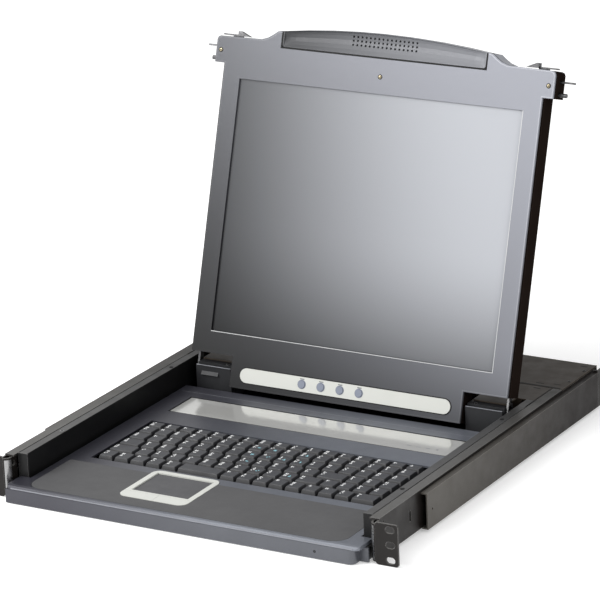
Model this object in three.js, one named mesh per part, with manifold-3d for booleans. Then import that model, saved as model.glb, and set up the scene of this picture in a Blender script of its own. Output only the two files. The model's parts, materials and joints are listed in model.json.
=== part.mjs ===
// Rack-mounted KVM console switch: a 1U slide-out drawer with a keyboard, a touchpad and a flip-up
// 17 inch display, and the switch electronics in a fixed box behind it.
// Millimetres. +X to the operator's right, +Y to the back of the rack, +Z up.
// The pieces are drawn from the front plane of the rack ears (y = 0) and the foot of the 1U space (z = 0);
// the last line moves the whole assembly so that its origin is the bottom centre of its bounding box.

import * as THREE from 'three';
import { mergeVertices } from 'three/addons/utils/BufferGeometryUtils.js';
import Module from 'manifold-3d';

const wasm = await Module();
wasm.setup();

// ---------------------------------------------------------------- driving dimensions

const PLAY = 0.3;                // clearance between pieces that touch
const SHEET = 1.5;               // folded steel thickness

// Rack ears, to the 19 inch standard
const RACK_HALF = 241.3;
const EAR_HEIGHT = 43.65;
const EAR_THICKNESS = 2;
const EAR_HOLE_X = 232.55;
const EAR_HOLE_PITCH = 15.875;
const EAR_HOLE_LENGTH = 10;
const EAR_HOLE_RADIUS = 3.4;

// Fixed chassis
const PLATE_OUTER = 217.5;
const PLATE_INNER = PLATE_OUTER - SHEET;
const PLATE_BOTTOM = 4;
const TOP = 44.4;                // top of the flanges and covers
const FLANGE_INNER = 207;
const STRIKER_X = 209.7;         // plate that the lid's lock pins enter
const STRIKER = { rear: 16, sheet: 2, foldX: 216.7, foldY: 7, fold: 7, bottom: 2.2, top: 41.5 };
const REAR_BOX_FRONT = 405;
const CHASSIS_REAR = 487;
const PORT_REAR = 493;           // ends of the connector shells

// Rear rails and the brackets that slide in them
const RAIL_OUTER = 224.7;
const RAIL_FRONT = 91;
const RAIL_REAR = 474;
const RAIL_BOTTOM = 3.1;
const RAIL_TOP = 41.4;
const BRACKET_X = 219.2;
const BRACKET_FRONT = 400;
const BRACKET_REAR = 585;
const BRACKET_PLATE = { front: 474.5, sheet: 2, bottom: 3.1, top: 43.4 };

// Telescopic slides
const SLIDE_FRONT = 22;
const SLIDE_REAR = 402;
const SLIDE_MIDDLE_Z = 17.5;

// Drawer
const WALL_INNER = 196.5;
const WALL_OUTER = 206.5;
const WALL_FRONT = 14.6;
const WALL_END_INNER = 195.5;      // folded front end of the side wall
const FOOT_FRONT = 1.5;
const DRAWER_REAR = 403.5;
const REAR_COVER_FRONT = 363;
const LIP_HALF = 205.7;
const LIP_TOP = 15.3;
const LIP_BOTTOM = 0.5;
const LIP_FRONT = -13.5;
const LIP_END = { x: 199, radius: 6, sheet: 2, tabX: 208.7, tabFront: -1, tabRear: 1 };
const POWER_LIGHT = { x: 155.7, z: 7.8 };

// Keyboard deck
const DECK_TOP = 19.5;
const DECK_HALF = 192.5;
const DECK_FRONT_HALF = 205;       // in front of the side walls the deck is wider
const DECK_FRONT_CORNER = 6;
const DECK_REAR = 316;
const DECK_SKIN = 2;
const WELL = { x: 168, front: 88.5, rear: 207 };
const WINDOW = { x: 168, front: 239, rear: 287 };
const INLAY = { x: 184, front: -8.5, rear: 75, corner: 16 };
const PAD = { x: -46.4, y: 47.2, width: 79, depth: 75, corner: 9, rim: 6.2, button: 15, split: 1.7 };
const PAD_FRONT = PAD.y - PAD.depth / 2;
const PAD_SPLIT = PAD.x + PAD.split;
const PAD_LEFT = PAD.x - PAD.width / 2;
const PAD_RIGHT = PAD.x + PAD.width / 2;
const BUTTON_REAR = PAD_FRONT + PAD.button;

// Keys: a row of caps on the pitch of a standard keyboard
const KEY_PITCH = 19.05;
const KEY_GAP = 1.6;
const KEY_TOP = 21.5;
const KEY_BASE = 15.5;
const KEY_TRAVEL = 2;
const KEYS_LEFT = -163.4;
const KEYS_FRONT = 92.5;
const FUNCTION_ROW_DEPTH = 0.75;
// Cap widths of each row in key pitches, front row first; every row is 17.15 pitches long
const KEY_ROWS = [
  [1, 1, 1, 1, 1, 2.65, 1, 1, 1, 1, 1, 1, 1, 1, 1.5],
  [1.65, 1, 1, 1, 1, 1, 1, 1, 1, 1, 1, 1.5, 1, 1, 1, 1],
  [1.4, 1, 1, 1, 1, 1, 1, 1, 1, 1, 1, 1, 1.75, 1, 1, 1],
  [1.15, 1, 1, 1, 1, 1, 1, 1, 1, 1, 1, 1, 1, 1, 1, 1, 1],
  [1, 1, 1, 1, 1, 1, 1, 1, 1, 1, 1, 1, 1, 1.15, 1, 1, 1],
  [1, 1, 1, 1, 1, 1, 1, 1, 1, 1, 1, 1, 1, 1.15, 1, 1, 1],
];
const SPACE_BAR_INDEX = 5;       // in the front row

// Display lid; heights are measured along it from the hinge axis, depths from the axis towards its face
const HINGE_Y = 340.2;
const HINGE_Z = 38.1;
const LEAN = 17.7;               // degrees past upright
const FACE = 15.6;
const BEZEL_SHEET = 2.6;
const PARTING = FACE - BEZEL_SHEET;  // where the bezel meets the back cover
const BACK = FACE - 22;
const LID_WALL = 2;
const LID = {
  half: 191, tabHalf: 203, centreHalf: 140, centreBottom: -19.8, bottom: 13.7, tabBottom: 326, top: 354.7,
  wingTop: 366.4, handleHalf: 122, handleBottom: 349.7, handleEnd: 366.4, handleTop: 374.5,
};
// The rise of the top edge from the corner tabs to the pull handle
const WING = [[148.2, 355.3], [140.5, 357.7], [134, 361.7], [129, 365.4]];
const SCREEN = { half: 170.3, bottom: 38, top: 310.8 };
const STRIP = { half: 127.5, middle: -4.8, halfHeight: 7.9 };
const BUTTON = { radius: 4, pitch: 23.2, first: -51, count: 4 };
const LOCK_PIN = { height: 330.5, depth: 3.6, radius: 2.2, tip: 213 };
const GRILLE = { rows: 3, columns: 16, pitchX: 5.07, pitchY: 4.3, radius: 1.3, depth: 4.4, top: 368.3 };
const HANDLE_CORNER = 3;
// Scoop in the face of the handle: share of its height, and depth below the face
const SCOOP = [[0.04, 0], [0.2, 1.3], [0.4, 2.5], [0.62, 3.2], [0.8, 2.8], [0.91, 1.7], [0.97, 0]];
const ARM = { inner: 186.3, outer: 188.6, top: 31 };

// Hinge housings: a front plate and, behind it, the block that carries the barrel
const HOUSING = {
  inner: 142.5, outer: 185.8, front: 327.6, plate: 1.8, plateTop: 40.7,
  blockFront: 333, rear: 352, bottom: 2.8, floor: 2.2, top: 42.4,
};
const TONGUE = { x0: -178.8, x1: -158, top: 35.5, bottom: 31, reach: 2.2, sheet: 1.2 };
const BARREL_RADIUS = 3.2;

// Connectors in the rear panel
const PORTS = { first: -178, pitch: 34, count: 8, z: 24, halfWidth: 8.4, halfHeight: 4.2 };
const CONSOLE = { x: 92, z: 24 };
const USB = { inner: 23, outer: 37, halfHeight: 8, pitch: 8, mouth: 2.6, wall: 1, depth: 5.2 };
const INLET = { x: 183, z: 22, halfWidth: 13.5, halfHeight: 9.8 };
const ROCKER = { x: 149, z: 22, halfWidth: 6, halfHeight: 9.5, y: 486, tilt: 8 };
const EARTH = { x: 207, z: 13 };
const PANEL_FRONT = CHASSIS_REAR - SHEET;
const CARRIER_DEPTH = 8;

// ---------------------------------------------------------------- shapes and booleans

function box(x0, x1, y0, y1, z0, z1) {
  const geometry = new THREE.BoxGeometry(Math.abs(x1 - x0), Math.abs(y1 - y0), Math.abs(z1 - z0));
  return geometry.translate((x0 + x1) / 2, (y0 + y1) / 2, (z0 + z1) / 2);
}

function outline(points) {
  return new THREE.Shape(points.map(([a, b]) => new THREE.Vector2(a, b)));
}

// A shape in the X-Y plane, thickened from z0 to z1
function slab(shape, z0, z1, curveSegments = 6) {
  const geometry = new THREE.ExtrudeGeometry(shape, { depth: z1 - z0, bevelEnabled: false, curveSegments });
  return geometry.translate(0, 0, z0);
}

// A shape of [x, z] points, run along Y
function runAlongY(points, y0, y1) {
  return slab(outline(points), 0, y1 - y0).rotateX(Math.PI / 2).translate(0, y1, 0);
}

// A shape of [y, z] points, run along X
function runAlongX(points, x0, x1) {
  const turn = new THREE.Matrix4().set(0, 0, 1, 0, 1, 0, 0, 0, 0, 1, 0, 0, 0, 0, 0, 1);
  return slab(outline(points), x0, x1).applyMatrix4(turn);
}

function roundedRectangle(x0, x1, y0, y1, radius) {
  const shape = new THREE.Shape();
  shape.moveTo(x0 + radius, y0);
  shape.lineTo(x1 - radius, y0);
  shape.absarc(x1 - radius, y0 + radius, radius, -Math.PI / 2, 0);
  shape.lineTo(x1, y1 - radius);
  shape.absarc(x1 - radius, y1 - radius, radius, 0, Math.PI / 2);
  shape.lineTo(x0 + radius, y1);
  shape.absarc(x0 + radius, y1 - radius, radius, Math.PI / 2, Math.PI);
  shape.lineTo(x0, y0 + radius);
  shape.absarc(x0 + radius, y0 + radius, radius, Math.PI, Math.PI * 1.5);
  return shape;
}

// Quarter ring of sheet in the X-Y plane: it starts at the inner side of (x, y) and turns to its front
function quarterFold(x, y, outer, sheet, side) {
  const steps = 6;
  const arc = (radius) => Array.from({ length: steps + 1 }, (_, i) => {
    const angle = (i / steps) * (Math.PI / 2);
    return [x - side * radius * Math.cos(angle), y - radius * Math.sin(angle)];
  });
  return outline([...arc(outer), ...arc(outer - sheet).reverse()]);
}

// A closed solid through rings of [x, y, z] points; the two end rings are convex and flat
function loft(rings) {
  const count = rings[0].length;
  const last = (rings.length - 1) * count;
  const triangles = [];
  for (let ring = 0; ring < rings.length - 1; ring += 1) {
    for (let i = 0; i < count; i += 1) {
      const a = ring * count + i;
      const b = ring * count + ((i + 1) % count);
      triangles.push(a, b, b + count, a, b + count, a + count);
    }
  }
  for (let i = 1; i < count - 1; i += 1) {
    triangles.push(0, i + 1, i, last, last + i, last + i + 1);
  }
  const geometry = new THREE.BufferGeometry();
  geometry.setAttribute('position', new THREE.Float32BufferAttribute(rings.flat(2), 3));
  geometry.setIndex(triangles);
  return geometry;
}

// Cylinders about an axis that runs along X, Y or Z
function rodX(radius, x0, x1, y, z, sides = 16) {
  const geometry = new THREE.CylinderGeometry(radius, radius, Math.abs(x1 - x0), sides).rotateZ(Math.PI / 2);
  return geometry.translate((x0 + x1) / 2, y, z);
}

function rodY(radius, y0, y1, x, z, sides = 16) {
  const geometry = new THREE.CylinderGeometry(radius, radius, y1 - y0, sides);
  return geometry.translate(x, (y0 + y1) / 2, z);
}

function rodZ(radius, z0, z1, x, y, sides = 16) {
  const geometry = new THREE.CylinderGeometry(radius, radius, z1 - z0, sides).rotateX(Math.PI / 2);
  return geometry.translate(x, y, (z0 + z1) / 2);
}

function toSolid(geometry) {
  const bare = geometry.clone();
  bare.deleteAttribute('normal');
  bare.deleteAttribute('uv');
  const merged = mergeVertices(bare, 1e-4);
  const vertProperties = new Float32Array(merged.attributes.position.array);
  const triVerts = new Uint32Array(merged.index.array);
  return new wasm.Manifold(new wasm.Mesh({ numProp: 3, vertProperties, triVerts }));
}

function toGeometry(solid) {
  const mesh = solid.getMesh();
  const geometry = new THREE.BufferGeometry();
  geometry.setAttribute('position', new THREE.BufferAttribute(mesh.vertProperties, 3));
  geometry.setIndex(new THREE.BufferAttribute(mesh.triVerts, 1));
  geometry.computeVertexNormals();
  return geometry;
}

function join(...geometries) {
  return toGeometry(geometries.map(toSolid).reduce((whole, next) => whole.add(next)));
}

function cut(geometry, ...tools) {
  return toGeometry(tools.map(toSolid).reduce((whole, next) => whole.subtract(next), toSolid(geometry)));
}

function common(geometry, other) {
  return toGeometry(toSolid(geometry).intersect(toSolid(other)));
}

// ---------------------------------------------------------------- materials and placing

function material(color, roughness, metalness) {
  return () => new THREE.MeshStandardMaterial({ color, roughness, metalness });
}

const finish = {
  chassisPaint: material(0x3a3733, 0.6, 0.4),
  darkPaint: material(0x17171a, 0.6, 0.3),
  deckPaint: material(0x6c727c, 0.45, 0.3),
  bezelPaint: material(0x8e939c, 0.4, 0.35),
  inlayPlastic: material(0x5f6062, 0.7, 0),
  silverPaint: material(0xe2e3e0, 0.35, 0.3),
  padPlastic: material(0x646569, 0.6, 0),
  keyPlastic: material(0x4f5157, 0.6, 0),
  buttonPlastic: material(0x8d93a0, 0.5, 0),
  steel: material(0xb8babd, 0.35, 1),
  screen: material(0x5c5e60, 0.5, 0),
  windowPlastic: material(0x9a9b96, 0.1, 0),
  board: material(0x1f5a35, 0.6, 0),
  plug: material(0x14284a, 0.5, 0.1),
  lens: material(0x7fb8d8, 0.2, 0),
};

const assembly = new THREE.Group();
const lid = new THREE.Group();
lid.position.set(0, HINGE_Y, HINGE_Z);
lid.rotation.x = THREE.MathUtils.degToRad(90 - LEAN);
assembly.add(lid);

function piece(name, geometry, makeMaterial, parent = assembly) {
  const mesh = new THREE.Mesh(geometry, makeMaterial());
  mesh.name = name;
  parent.add(mesh);
}

const SIDES = [['left', -1], ['right', 1]];

// ---------------------------------------------------------------- fixed chassis

// Vertical rack ear between two depths, with its three obround holes and rounded outer corners
function rackEar(side, inner, y0, y1) {
  const corner = 3;
  const ear = slab(roundedRectangle(inner, RACK_HALF, 0, EAR_HEIGHT, corner), 0, y1 - y0, 3);
  const holes = [-1, 0, 1].map((step) => {
    const z = EAR_HEIGHT / 2 + step * EAR_HOLE_PITCH;
    const [x0, x1] = [EAR_HOLE_X - EAR_HOLE_LENGTH / 2, EAR_HOLE_X + EAR_HOLE_LENGTH / 2];
    const hole = roundedRectangle(x0, x1, z - EAR_HOLE_RADIUS, z + EAR_HOLE_RADIUS, EAR_HOLE_RADIUS);
    return slab(hole, -1, y1 - y0 + 1, 4);
  });
  const upright = cut(ear, ...holes).rotateX(Math.PI / 2).translate(0, y1, 0);
  return side > 0 ? upright : upright.rotateZ(Math.PI).translate(0, y0 + y1, 0);
}

// Folded side plate: web, top and bottom flanges, and the front ear, whose sheet turns back through a
// rounded fold to become the striker plate with its pin hole
function chassisPlate(side) {
  const [inner, outer, strikerX] = [side * PLATE_INNER, side * PLATE_OUTER, side * STRIKER_X];
  const web = box(inner, outer, 0.5, CHASSIS_REAR, PLATE_BOTTOM, TOP - SHEET);
  const topFlange = box(side * FLANGE_INNER, outer, STRIKER.foldY, REAR_BOX_FRONT - 1, TOP - SHEET, TOP);
  const bottomFlange = box(strikerX, outer, STRIKER.foldY, CHASSIS_REAR, PLATE_BOTTOM, PLATE_BOTTOM + SHEET);
  const striker = box(
    strikerX, strikerX + side * STRIKER.sheet, STRIKER.foldY, STRIKER.rear, STRIKER.bottom, TOP - SHEET + 0.5,
  );
  const foldShape = quarterFold(side * STRIKER.foldX, STRIKER.foldY, STRIKER.fold, STRIKER.sheet, side);
  const fold = slab(foldShape, STRIKER.bottom, STRIKER.top);
  const ear = rackEar(side, PLATE_INNER, 0, EAR_THICKNESS);
  const pinHole = rodX(
    LOCK_PIN.radius + 0.7, side * (STRIKER_X - 2), side * (PLATE_INNER - 2),
    HINGE_Y - LOCK_PIN.height, HINGE_Z - LOCK_PIN.depth,
  );
  const rivetHole = rodX(1.2, inner - side, outer + side, 15.4, 38.6, 8);
  const adjustSlot = box(inner - side, outer + side, 66.5, 70, 19, 30);
  return cut(join(web, topFlange, bottomFlange, striker, fold, ear), pinHole, rivetHole, adjustSlot);
}

// Shallow channel screwed along the outside of the side plate, open at both ends
function railCover(side) {
  const inner = side * (PLATE_OUTER + PLAY);
  const outer = side * RAIL_OUTER;
  const web = box(outer - side * SHEET, outer, RAIL_FRONT, RAIL_REAR, RAIL_BOTTOM, RAIL_TOP);
  const top = box(inner, outer, RAIL_FRONT, RAIL_REAR, RAIL_TOP - SHEET, RAIL_TOP);
  const bottom = box(inner, outer, RAIL_FRONT, RAIL_REAR, RAIL_BOTTOM, RAIL_BOTTOM + SHEET);
  const screwHole = rodX(1.4, outer - side * 3, outer + side, 101.2, 22.1, 8);
  return cut(join(web, top, bottom), screwHole);
}

// Flat bar inside the rail cover; behind the cover it steps outwards to a taller plate with the rear rack ear
function rearBracket(side) {
  const inner = side * BRACKET_X;
  const { front, sheet, bottom, top } = BRACKET_PLATE;
  const bar = box(inner, inner + side * sheet, BRACKET_FRONT, front + sheet, 8, 37);
  const slot = box(inner - side, inner + side * (sheet + 1), BRACKET_FRONT + 15, RAIL_REAR - 14, 20, 25);
  const step = box(inner, side * RAIL_OUTER, front, front + sheet, bottom, top);
  const plate = box(side * (RAIL_OUTER - sheet), side * RAIL_OUTER, front, BRACKET_REAR, bottom, top);
  const ear = rackEar(side, RAIL_OUTER - sheet, BRACKET_REAR - EAR_THICKNESS, BRACKET_REAR);
  return join(cut(bar, slot), step, plate, ear);
}

// One C-shaped slide member: a web at webX, and lips that reach from it to lipX
function slideMember(side, webX, lipX, halfHeight) {
  const z0 = SLIDE_MIDDLE_Z - halfHeight;
  const z1 = SLIDE_MIDDLE_Z + halfHeight;
  const web = box(side * webX, side * (webX + SHEET), SLIDE_FRONT, SLIDE_REAR, z0, z1);
  const reach = lipX > webX ? [webX, lipX] : [lipX, webX + SHEET];
  const lower = box(side * reach[0], side * reach[1], SLIDE_FRONT, SLIDE_REAR, z0, z0 + SHEET);
  const upper = box(side * reach[0], side * reach[1], SLIDE_FRONT, SLIDE_REAR, z1 - SHEET, z1);
  return join(web, lower, upper);
}

// Floor of the rear box with a low front wall
function chassisPan() {
  const top = PLATE_BOTTOM - PLAY;
  const bottom = top - SHEET;
  const wallHalf = 205;
  const floor = box(-PLATE_OUTER, PLATE_OUTER, REAR_BOX_FRONT, CHASSIS_REAR, bottom, top);
  const wall = box(-wallHalf, wallHalf, REAR_BOX_FRONT, REAR_BOX_FRONT + SHEET, bottom, 36);
  const rearLip = box(-wallHalf, wallHalf, CHASSIS_REAR - 3, CHASSIS_REAR - 2, bottom, 5.4);
  return join(floor, wall, rearLip);
}

// Lid of the rear box, with a folded front edge
function chassisTopCover() {
  const sheetBottom = TOP - SHEET + PLAY;
  const plate = box(-PLATE_OUTER, PLATE_OUTER, REAR_BOX_FRONT, CHASSIS_REAR, sheetBottom, TOP);
  const fold = box(-205, 205, REAR_BOX_FRONT, REAR_BOX_FRONT + SHEET, 36.5, sheetBottom + 0.5);
  return join(plate, fold);
}

function portPlaces() {
  return Array.from({ length: PORTS.count }, (_, i) => PORTS.first + i * PORTS.pitch);
}

// Rear panel with an opening for every connector
function rearPanel() {
  const [bottom, top] = [PLATE_BOTTOM + SHEET + PLAY, TOP - SHEET - PLAY];
  const plate = box(-215.4, 215.4, PANEL_FRONT, CHASSIS_REAR, bottom, top);
  const through = [PANEL_FRONT - 2, CHASSIS_REAR + 2];
  const opening = (x, z, halfWidth, halfHeight) => box(
    x - halfWidth - PLAY, x + halfWidth + PLAY, ...through, z - halfHeight - PLAY, z + halfHeight + PLAY,
  );
  const tools = portPlaces().map((x) => opening(x, PORTS.z, PORTS.halfWidth, PORTS.halfHeight));
  tools.push(opening(CONSOLE.x, CONSOLE.z, PORTS.halfWidth, PORTS.halfHeight));
  tools.push(opening(CONSOLE.x + 30, CONSOLE.z, 7, 8));
  tools.push(opening(INLET.x, INLET.z, INLET.halfWidth, INLET.halfHeight));
  tools.push(opening(ROCKER.x, ROCKER.z, ROCKER.halfWidth, ROCKER.halfHeight));
  tools.push(rodY(1.9, ...through, EARTH.x, EARTH.z, 12));
  return cut(plate, ...tools);
}

// A connector shell, open to the back, standing on a common carrier inside the panel
function socketShell(x, z, halfWidth, halfHeight, depth, wall) {
  const y0 = PANEL_FRONT - CARRIER_DEPTH;
  const shell = box(x - halfWidth, x + halfWidth, y0, PORT_REAR, z - halfHeight, z + halfHeight);
  const hollow = box(
    x - halfWidth + wall, x + halfWidth - wall, PORT_REAR - depth, PORT_REAR + 1,
    z - halfHeight + wall, z + halfHeight - wall,
  );
  return cut(shell, hollow);
}

// Row of computer ports on one carrier bar
function computerPortBank() {
  const places = portPlaces();
  const reach = 14;
  const carrier = box(
    places[0] - reach, places[places.length - 1] + reach,
    PANEL_FRONT - CARRIER_DEPTH, PANEL_FRONT - PLAY, PORTS.z - 7, PORTS.z + 7,
  );
  const shells = places.map((x) => socketShell(x, PORTS.z, PORTS.halfWidth, PORTS.halfHeight, 5, 0.9));
  return join(carrier, ...shells);
}

// Video socket for a second, local console
function consoleVideoPort() {
  const carrier = box(
    CONSOLE.x - 14, CONSOLE.x + 14,
    PANEL_FRONT - CARRIER_DEPTH, PANEL_FRONT - PLAY, CONSOLE.z - 7, CONSOLE.z + 7,
  );
  return join(carrier, socketShell(CONSOLE.x, CONSOLE.z, PORTS.halfWidth, PORTS.halfHeight, 5, 0.9));
}

// Double USB socket beside the video socket, with its two mouths one above the other
function consoleUsbPort() {
  const [left, right] = [CONSOLE.x + USB.inner, CONSOLE.x + USB.outer];
  const shell = box(
    left, right, PANEL_FRONT - CARRIER_DEPTH, PORT_REAR - 1,
    CONSOLE.z - USB.halfHeight, CONSOLE.z + USB.halfHeight,
  );
  const mouths = [-0.5, 0.5].map((step) => {
    const z = CONSOLE.z + step * USB.pitch;
    const [floor, end] = [PORT_REAR - USB.depth, PORT_REAR];
    return box(left + USB.wall, right - USB.wall, floor, end, z - USB.mouth, z + USB.mouth);
  });
  return cut(shell, ...mouths);
}

// Mains inlet: a flanged housing with a recess for the mains connector
function powerInlet() {
  const body = box(
    INLET.x - INLET.halfWidth, INLET.x + INLET.halfWidth, 456, CHASSIS_REAR + 2.5,
    INLET.z - INLET.halfHeight, INLET.z + INLET.halfHeight,
  );
  const flange = box(
    INLET.x - 16, INLET.x + 16, CHASSIS_REAR + PLAY, CHASSIS_REAR + 2.5, INLET.z - 12, INLET.z + 12,
  );
  const recess = box(INLET.x - 12, INLET.x + 12, 473, CHASSIS_REAR + 4, INLET.z - 8, INLET.z + 8);
  const blades = [-7, 0, 7].map((x) => box(
    INLET.x + x - 1, INLET.x + x + 1, 472, CHASSIS_REAR - 3, INLET.z - 2, INLET.z + 2,
  ));
  return join(cut(join(body, flange), recess), ...blades);
}

// Rocker of the power switch, pivoting about a line across its middle and resting in its off position
function powerRocker() {
  const halfWidth = ROCKER.halfWidth - 0.4;
  const profile = [[-7, -7], [3.6, -8.2], [1.6, 0], [3.6, 8.2], [-7, 7]];
  const rocker = runAlongX(profile, -halfWidth, halfWidth).rotateX(THREE.MathUtils.degToRad(ROCKER.tilt));
  return rocker.translate(ROCKER.x, ROCKER.y, ROCKER.z);
}

// Circuit board of the switch with its main chips and a heat sink
function switchBoard() {
  const board = box(-195, 120, 412, 476, 9, 10.6);
  const chips = [-150, -90, -30, 30].map((x) => box(x, x + 24, 428, 452, 10, 13));
  const fins = Array.from({ length: 6 }, (_, i) => box(78 + i * 6, 80 + i * 6, 430, 462, 14, 26));
  const sink = box(76, 112, 430, 462, 10, 15);
  return join(board, ...chips, sink, ...fins);
}

function powerSupply() {
  const block = box(126, 205, 412, 452, 8, 38);
  const slots = Array.from({ length: 6 }, (_, i) => box(136 + i * 11, 140 + i * 11, 418, 446, 37, 39));
  return cut(block, ...slots);
}

function earthScrew() {
  return join(
    rodY(1.6, PANEL_FRONT - 6, CHASSIS_REAR + 1, EARTH.x, EARTH.z, 12),
    rodY(3.5, CHASSIS_REAR + PLAY, CHASSIS_REAR + 3, EARTH.x, EARTH.z, 12),
  );
}

for (const [name, side] of SIDES) {
  piece(`chassis_${name}_plate`, chassisPlate(side), finish.chassisPaint);
  piece(`rail_cover_${name}`, railCover(side), finish.chassisPaint);
  piece(`rear_bracket_${name}`, rearBracket(side), finish.chassisPaint);
  piece(`slide_outer_${name}`, slideMember(side, 214.2, 203.5, 11.5), finish.steel);
  piece(`slide_middle_${name}`, slideMember(side, 207.4, 201.5, 9.2), finish.steel);
  piece(`slide_inner_${name}`, slideMember(side, 198.3, 205.5, 6.9), finish.steel);
}
piece('chassis_pan', chassisPan(), finish.chassisPaint);
piece('chassis_top_cover', chassisTopCover(), finish.chassisPaint);
piece('rear_panel', rearPanel(), finish.chassisPaint);
piece('computer_port_bank', computerPortBank(), finish.plug);
piece('console_video_port', consoleVideoPort(), finish.plug);
piece('console_usb_port', consoleUsbPort(), finish.plug);
piece('power_inlet', powerInlet(), finish.darkPaint);
piece('power_rocker', powerRocker(), finish.darkPaint);
piece('switch_board', switchBoard(), finish.board);
piece('power_supply', powerSupply(), finish.steel);
piece('earth_screw', earthScrew(), finish.steel);

// ---------------------------------------------------------------- drawer

// Folded side wall, closed at its front end, with a foot that reaches forward to the lip
function drawerWall(side) {
  const [inner, outer] = [side * WALL_INNER, side * WALL_OUTER];
  const bottom = 1.2;
  const web = box(inner, inner + side * SHEET, WALL_FRONT, DRAWER_REAR, bottom, TOP - SHEET);
  const topFlange = box(inner, outer, WALL_FRONT, REAR_COVER_FRONT - PLAY, TOP - SHEET - 0.1, TOP);
  const bottomFlange = box(inner, outer, WALL_FRONT, DRAWER_REAR, bottom, bottom + SHEET);
  const end = box(side * WALL_END_INNER, outer, WALL_FRONT, WALL_FRONT + SHEET, bottom + 1.8, TOP);
  const foot = box(inner, outer, FOOT_FRONT, WALL_FRONT + SHEET, bottom, LIP_TOP - 0.5);
  return join(web, topFlange, bottomFlange, end, foot);
}

// Floor of the drawer with a folded back wall
function drawerPan() {
  const x = WALL_INNER - PLAY;
  const floor = box(-x, x, LIP_FRONT + 4, DRAWER_REAR, 1, 1 + SHEET);
  const back = box(-x, x, DRAWER_REAR - SHEET, DRAWER_REAR, 1, 38);
  return join(floor, back);
}

// Front lip across the whole drawer, with a hole for the power light; its right end turns back round a
// fold and out again to a small tab
function drawerLip() {
  const { x, radius, sheet, tabX, tabFront, tabRear } = LIP_END;
  const foldX = x - radius;
  const foldY = LIP_FRONT + radius;
  const front = box(-LIP_HALF, foldX, LIP_FRONT, LIP_FRONT + 3.5, LIP_BOTTOM, LIP_TOP);
  const leftEnd = box(-LIP_HALF, 8 - LIP_HALF, LIP_FRONT, -PLAY, LIP_BOTTOM, LIP_TOP);
  const fold = slab(quarterFold(foldX, foldY, radius, sheet, -1), LIP_BOTTOM, LIP_TOP);
  const rightEnd = box(x - sheet, x, foldY, tabRear, LIP_BOTTOM, LIP_TOP);
  const tab = box(x - sheet, tabX, tabFront, tabRear, LIP_BOTTOM, LIP_TOP);
  const lightHole = rodY(1.5, LIP_FRONT - 1, LIP_FRONT + 6, POWER_LIGHT.x, POWER_LIGHT.z, 12);
  return cut(join(front, leftEnd, fold, rightEnd, tab), lightHole);
}

function powerLight() {
  return rodY(1.2, LIP_FRONT, LIP_FRONT + 3.5, POWER_LIGHT.x, POWER_LIGHT.z, 12);
}

// Palm inlay: round corners at the front, square ones at the back
function inlayShape(grow) {
  const x = INLAY.x + grow;
  const radius = INLAY.corner + grow;
  const y0 = INLAY.front - grow;
  const shape = new THREE.Shape();
  shape.moveTo(-x, INLAY.rear + grow);
  shape.lineTo(-x, y0 + radius);
  shape.absarc(radius - x, y0 + radius, radius, Math.PI, Math.PI * 1.5);
  shape.lineTo(x - radius, y0);
  shape.absarc(x - radius, y0 + radius, radius, -Math.PI / 2, 0);
  shape.lineTo(x, INLAY.rear + grow);
  return shape;
}

function padShape(grow) {
  const halfWidth = PAD.width / 2 + grow;
  const halfDepth = PAD.depth / 2 + grow;
  return roundedRectangle(
    PAD.x - halfWidth, PAD.x + halfWidth, PAD.y - halfDepth, PAD.y + halfDepth, PAD.corner + grow,
  );
}

// Section of the deck from its rounded brow above the lip back to the given depth
function browSection(rear) {
  return [
    [rear, DECK_TOP], [-8, DECK_TOP], [-11, DECK_TOP - 0.8], [-12.8, DECK_TOP - 2.2],
    [LIP_FRONT, LIP_TOP + PLAY], [-9.7, LIP_TOP + PLAY], [-9.7, DECK_TOP - 3.2], [-7, DECK_TOP - DECK_SKIN],
    [rear, DECK_TOP - DECK_SKIN],
  ];
}

// The part of the deck in front of the side walls, with round corners and short side faces
function deckFront() {
  const rear = WALL_FRONT - PLAY;
  const half = DECK_FRONT_HALF;
  const brow = runAlongX(browSection(rear), -half, half);
  const faces = SIDES.map(([, side]) => box(
    side * (half - 2), side * half, -9, rear, LIP_TOP + PLAY, DECK_TOP - 0.5,
  ));
  const plan = roundedRectangle(-half, half, LIP_FRONT, 2 * rear, DECK_FRONT_CORNER);
  return common(join(brow, ...faces), slab(plan, 0, DECK_TOP + 1));
}

// Moulded top of the drawer: skin, side skirts, and openings for the inlay, touchpad, keys and window
function keyboardDeck() {
  const skin = box(-DECK_HALF, DECK_HALF, 0, DECK_REAR, DECK_TOP - DECK_SKIN, DECK_TOP);
  const skirts = SIDES.map(([, side]) => box(
    side * (DECK_HALF - 2), side * DECK_HALF, -9, DECK_REAR, 2.8, DECK_TOP - 1,
  ));
  const shelf = box(
    -WINDOW.x - 4, WINDOW.x + 4, WINDOW.front - 4, WINDOW.rear + 4, DECK_TOP - 4, DECK_TOP - 1,
  );
  const inlayBed = slab(inlayShape(3), DECK_TOP - 3.8, DECK_TOP - 1);
  const wellOpening = box(-WELL.x, WELL.x, WELL.front, WELL.rear, 0, DECK_TOP + 1);
  const windowRecess = box(-WINDOW.x, WINDOW.x, WINDOW.front, WINDOW.rear, DECK_TOP - 2.2, DECK_TOP + 1);
  const inlayRecess = slab(inlayShape(PLAY), DECK_TOP - 1.4, DECK_TOP + 1);
  const padOpening = slab(padShape(PLAY), 0, DECK_TOP + 1);
  const body = join(skin, deckFront(), ...skirts, shelf, inlayBed);
  return cut(body, wellOpening, windowRecess, inlayRecess, padOpening);
}

function palmInlay() {
  const sheet = slab(inlayShape(0), DECK_TOP - 1.1, DECK_TOP + 0.1);
  return cut(sheet, slab(padShape(PLAY), DECK_TOP - 3, DECK_TOP + 1));
}

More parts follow.
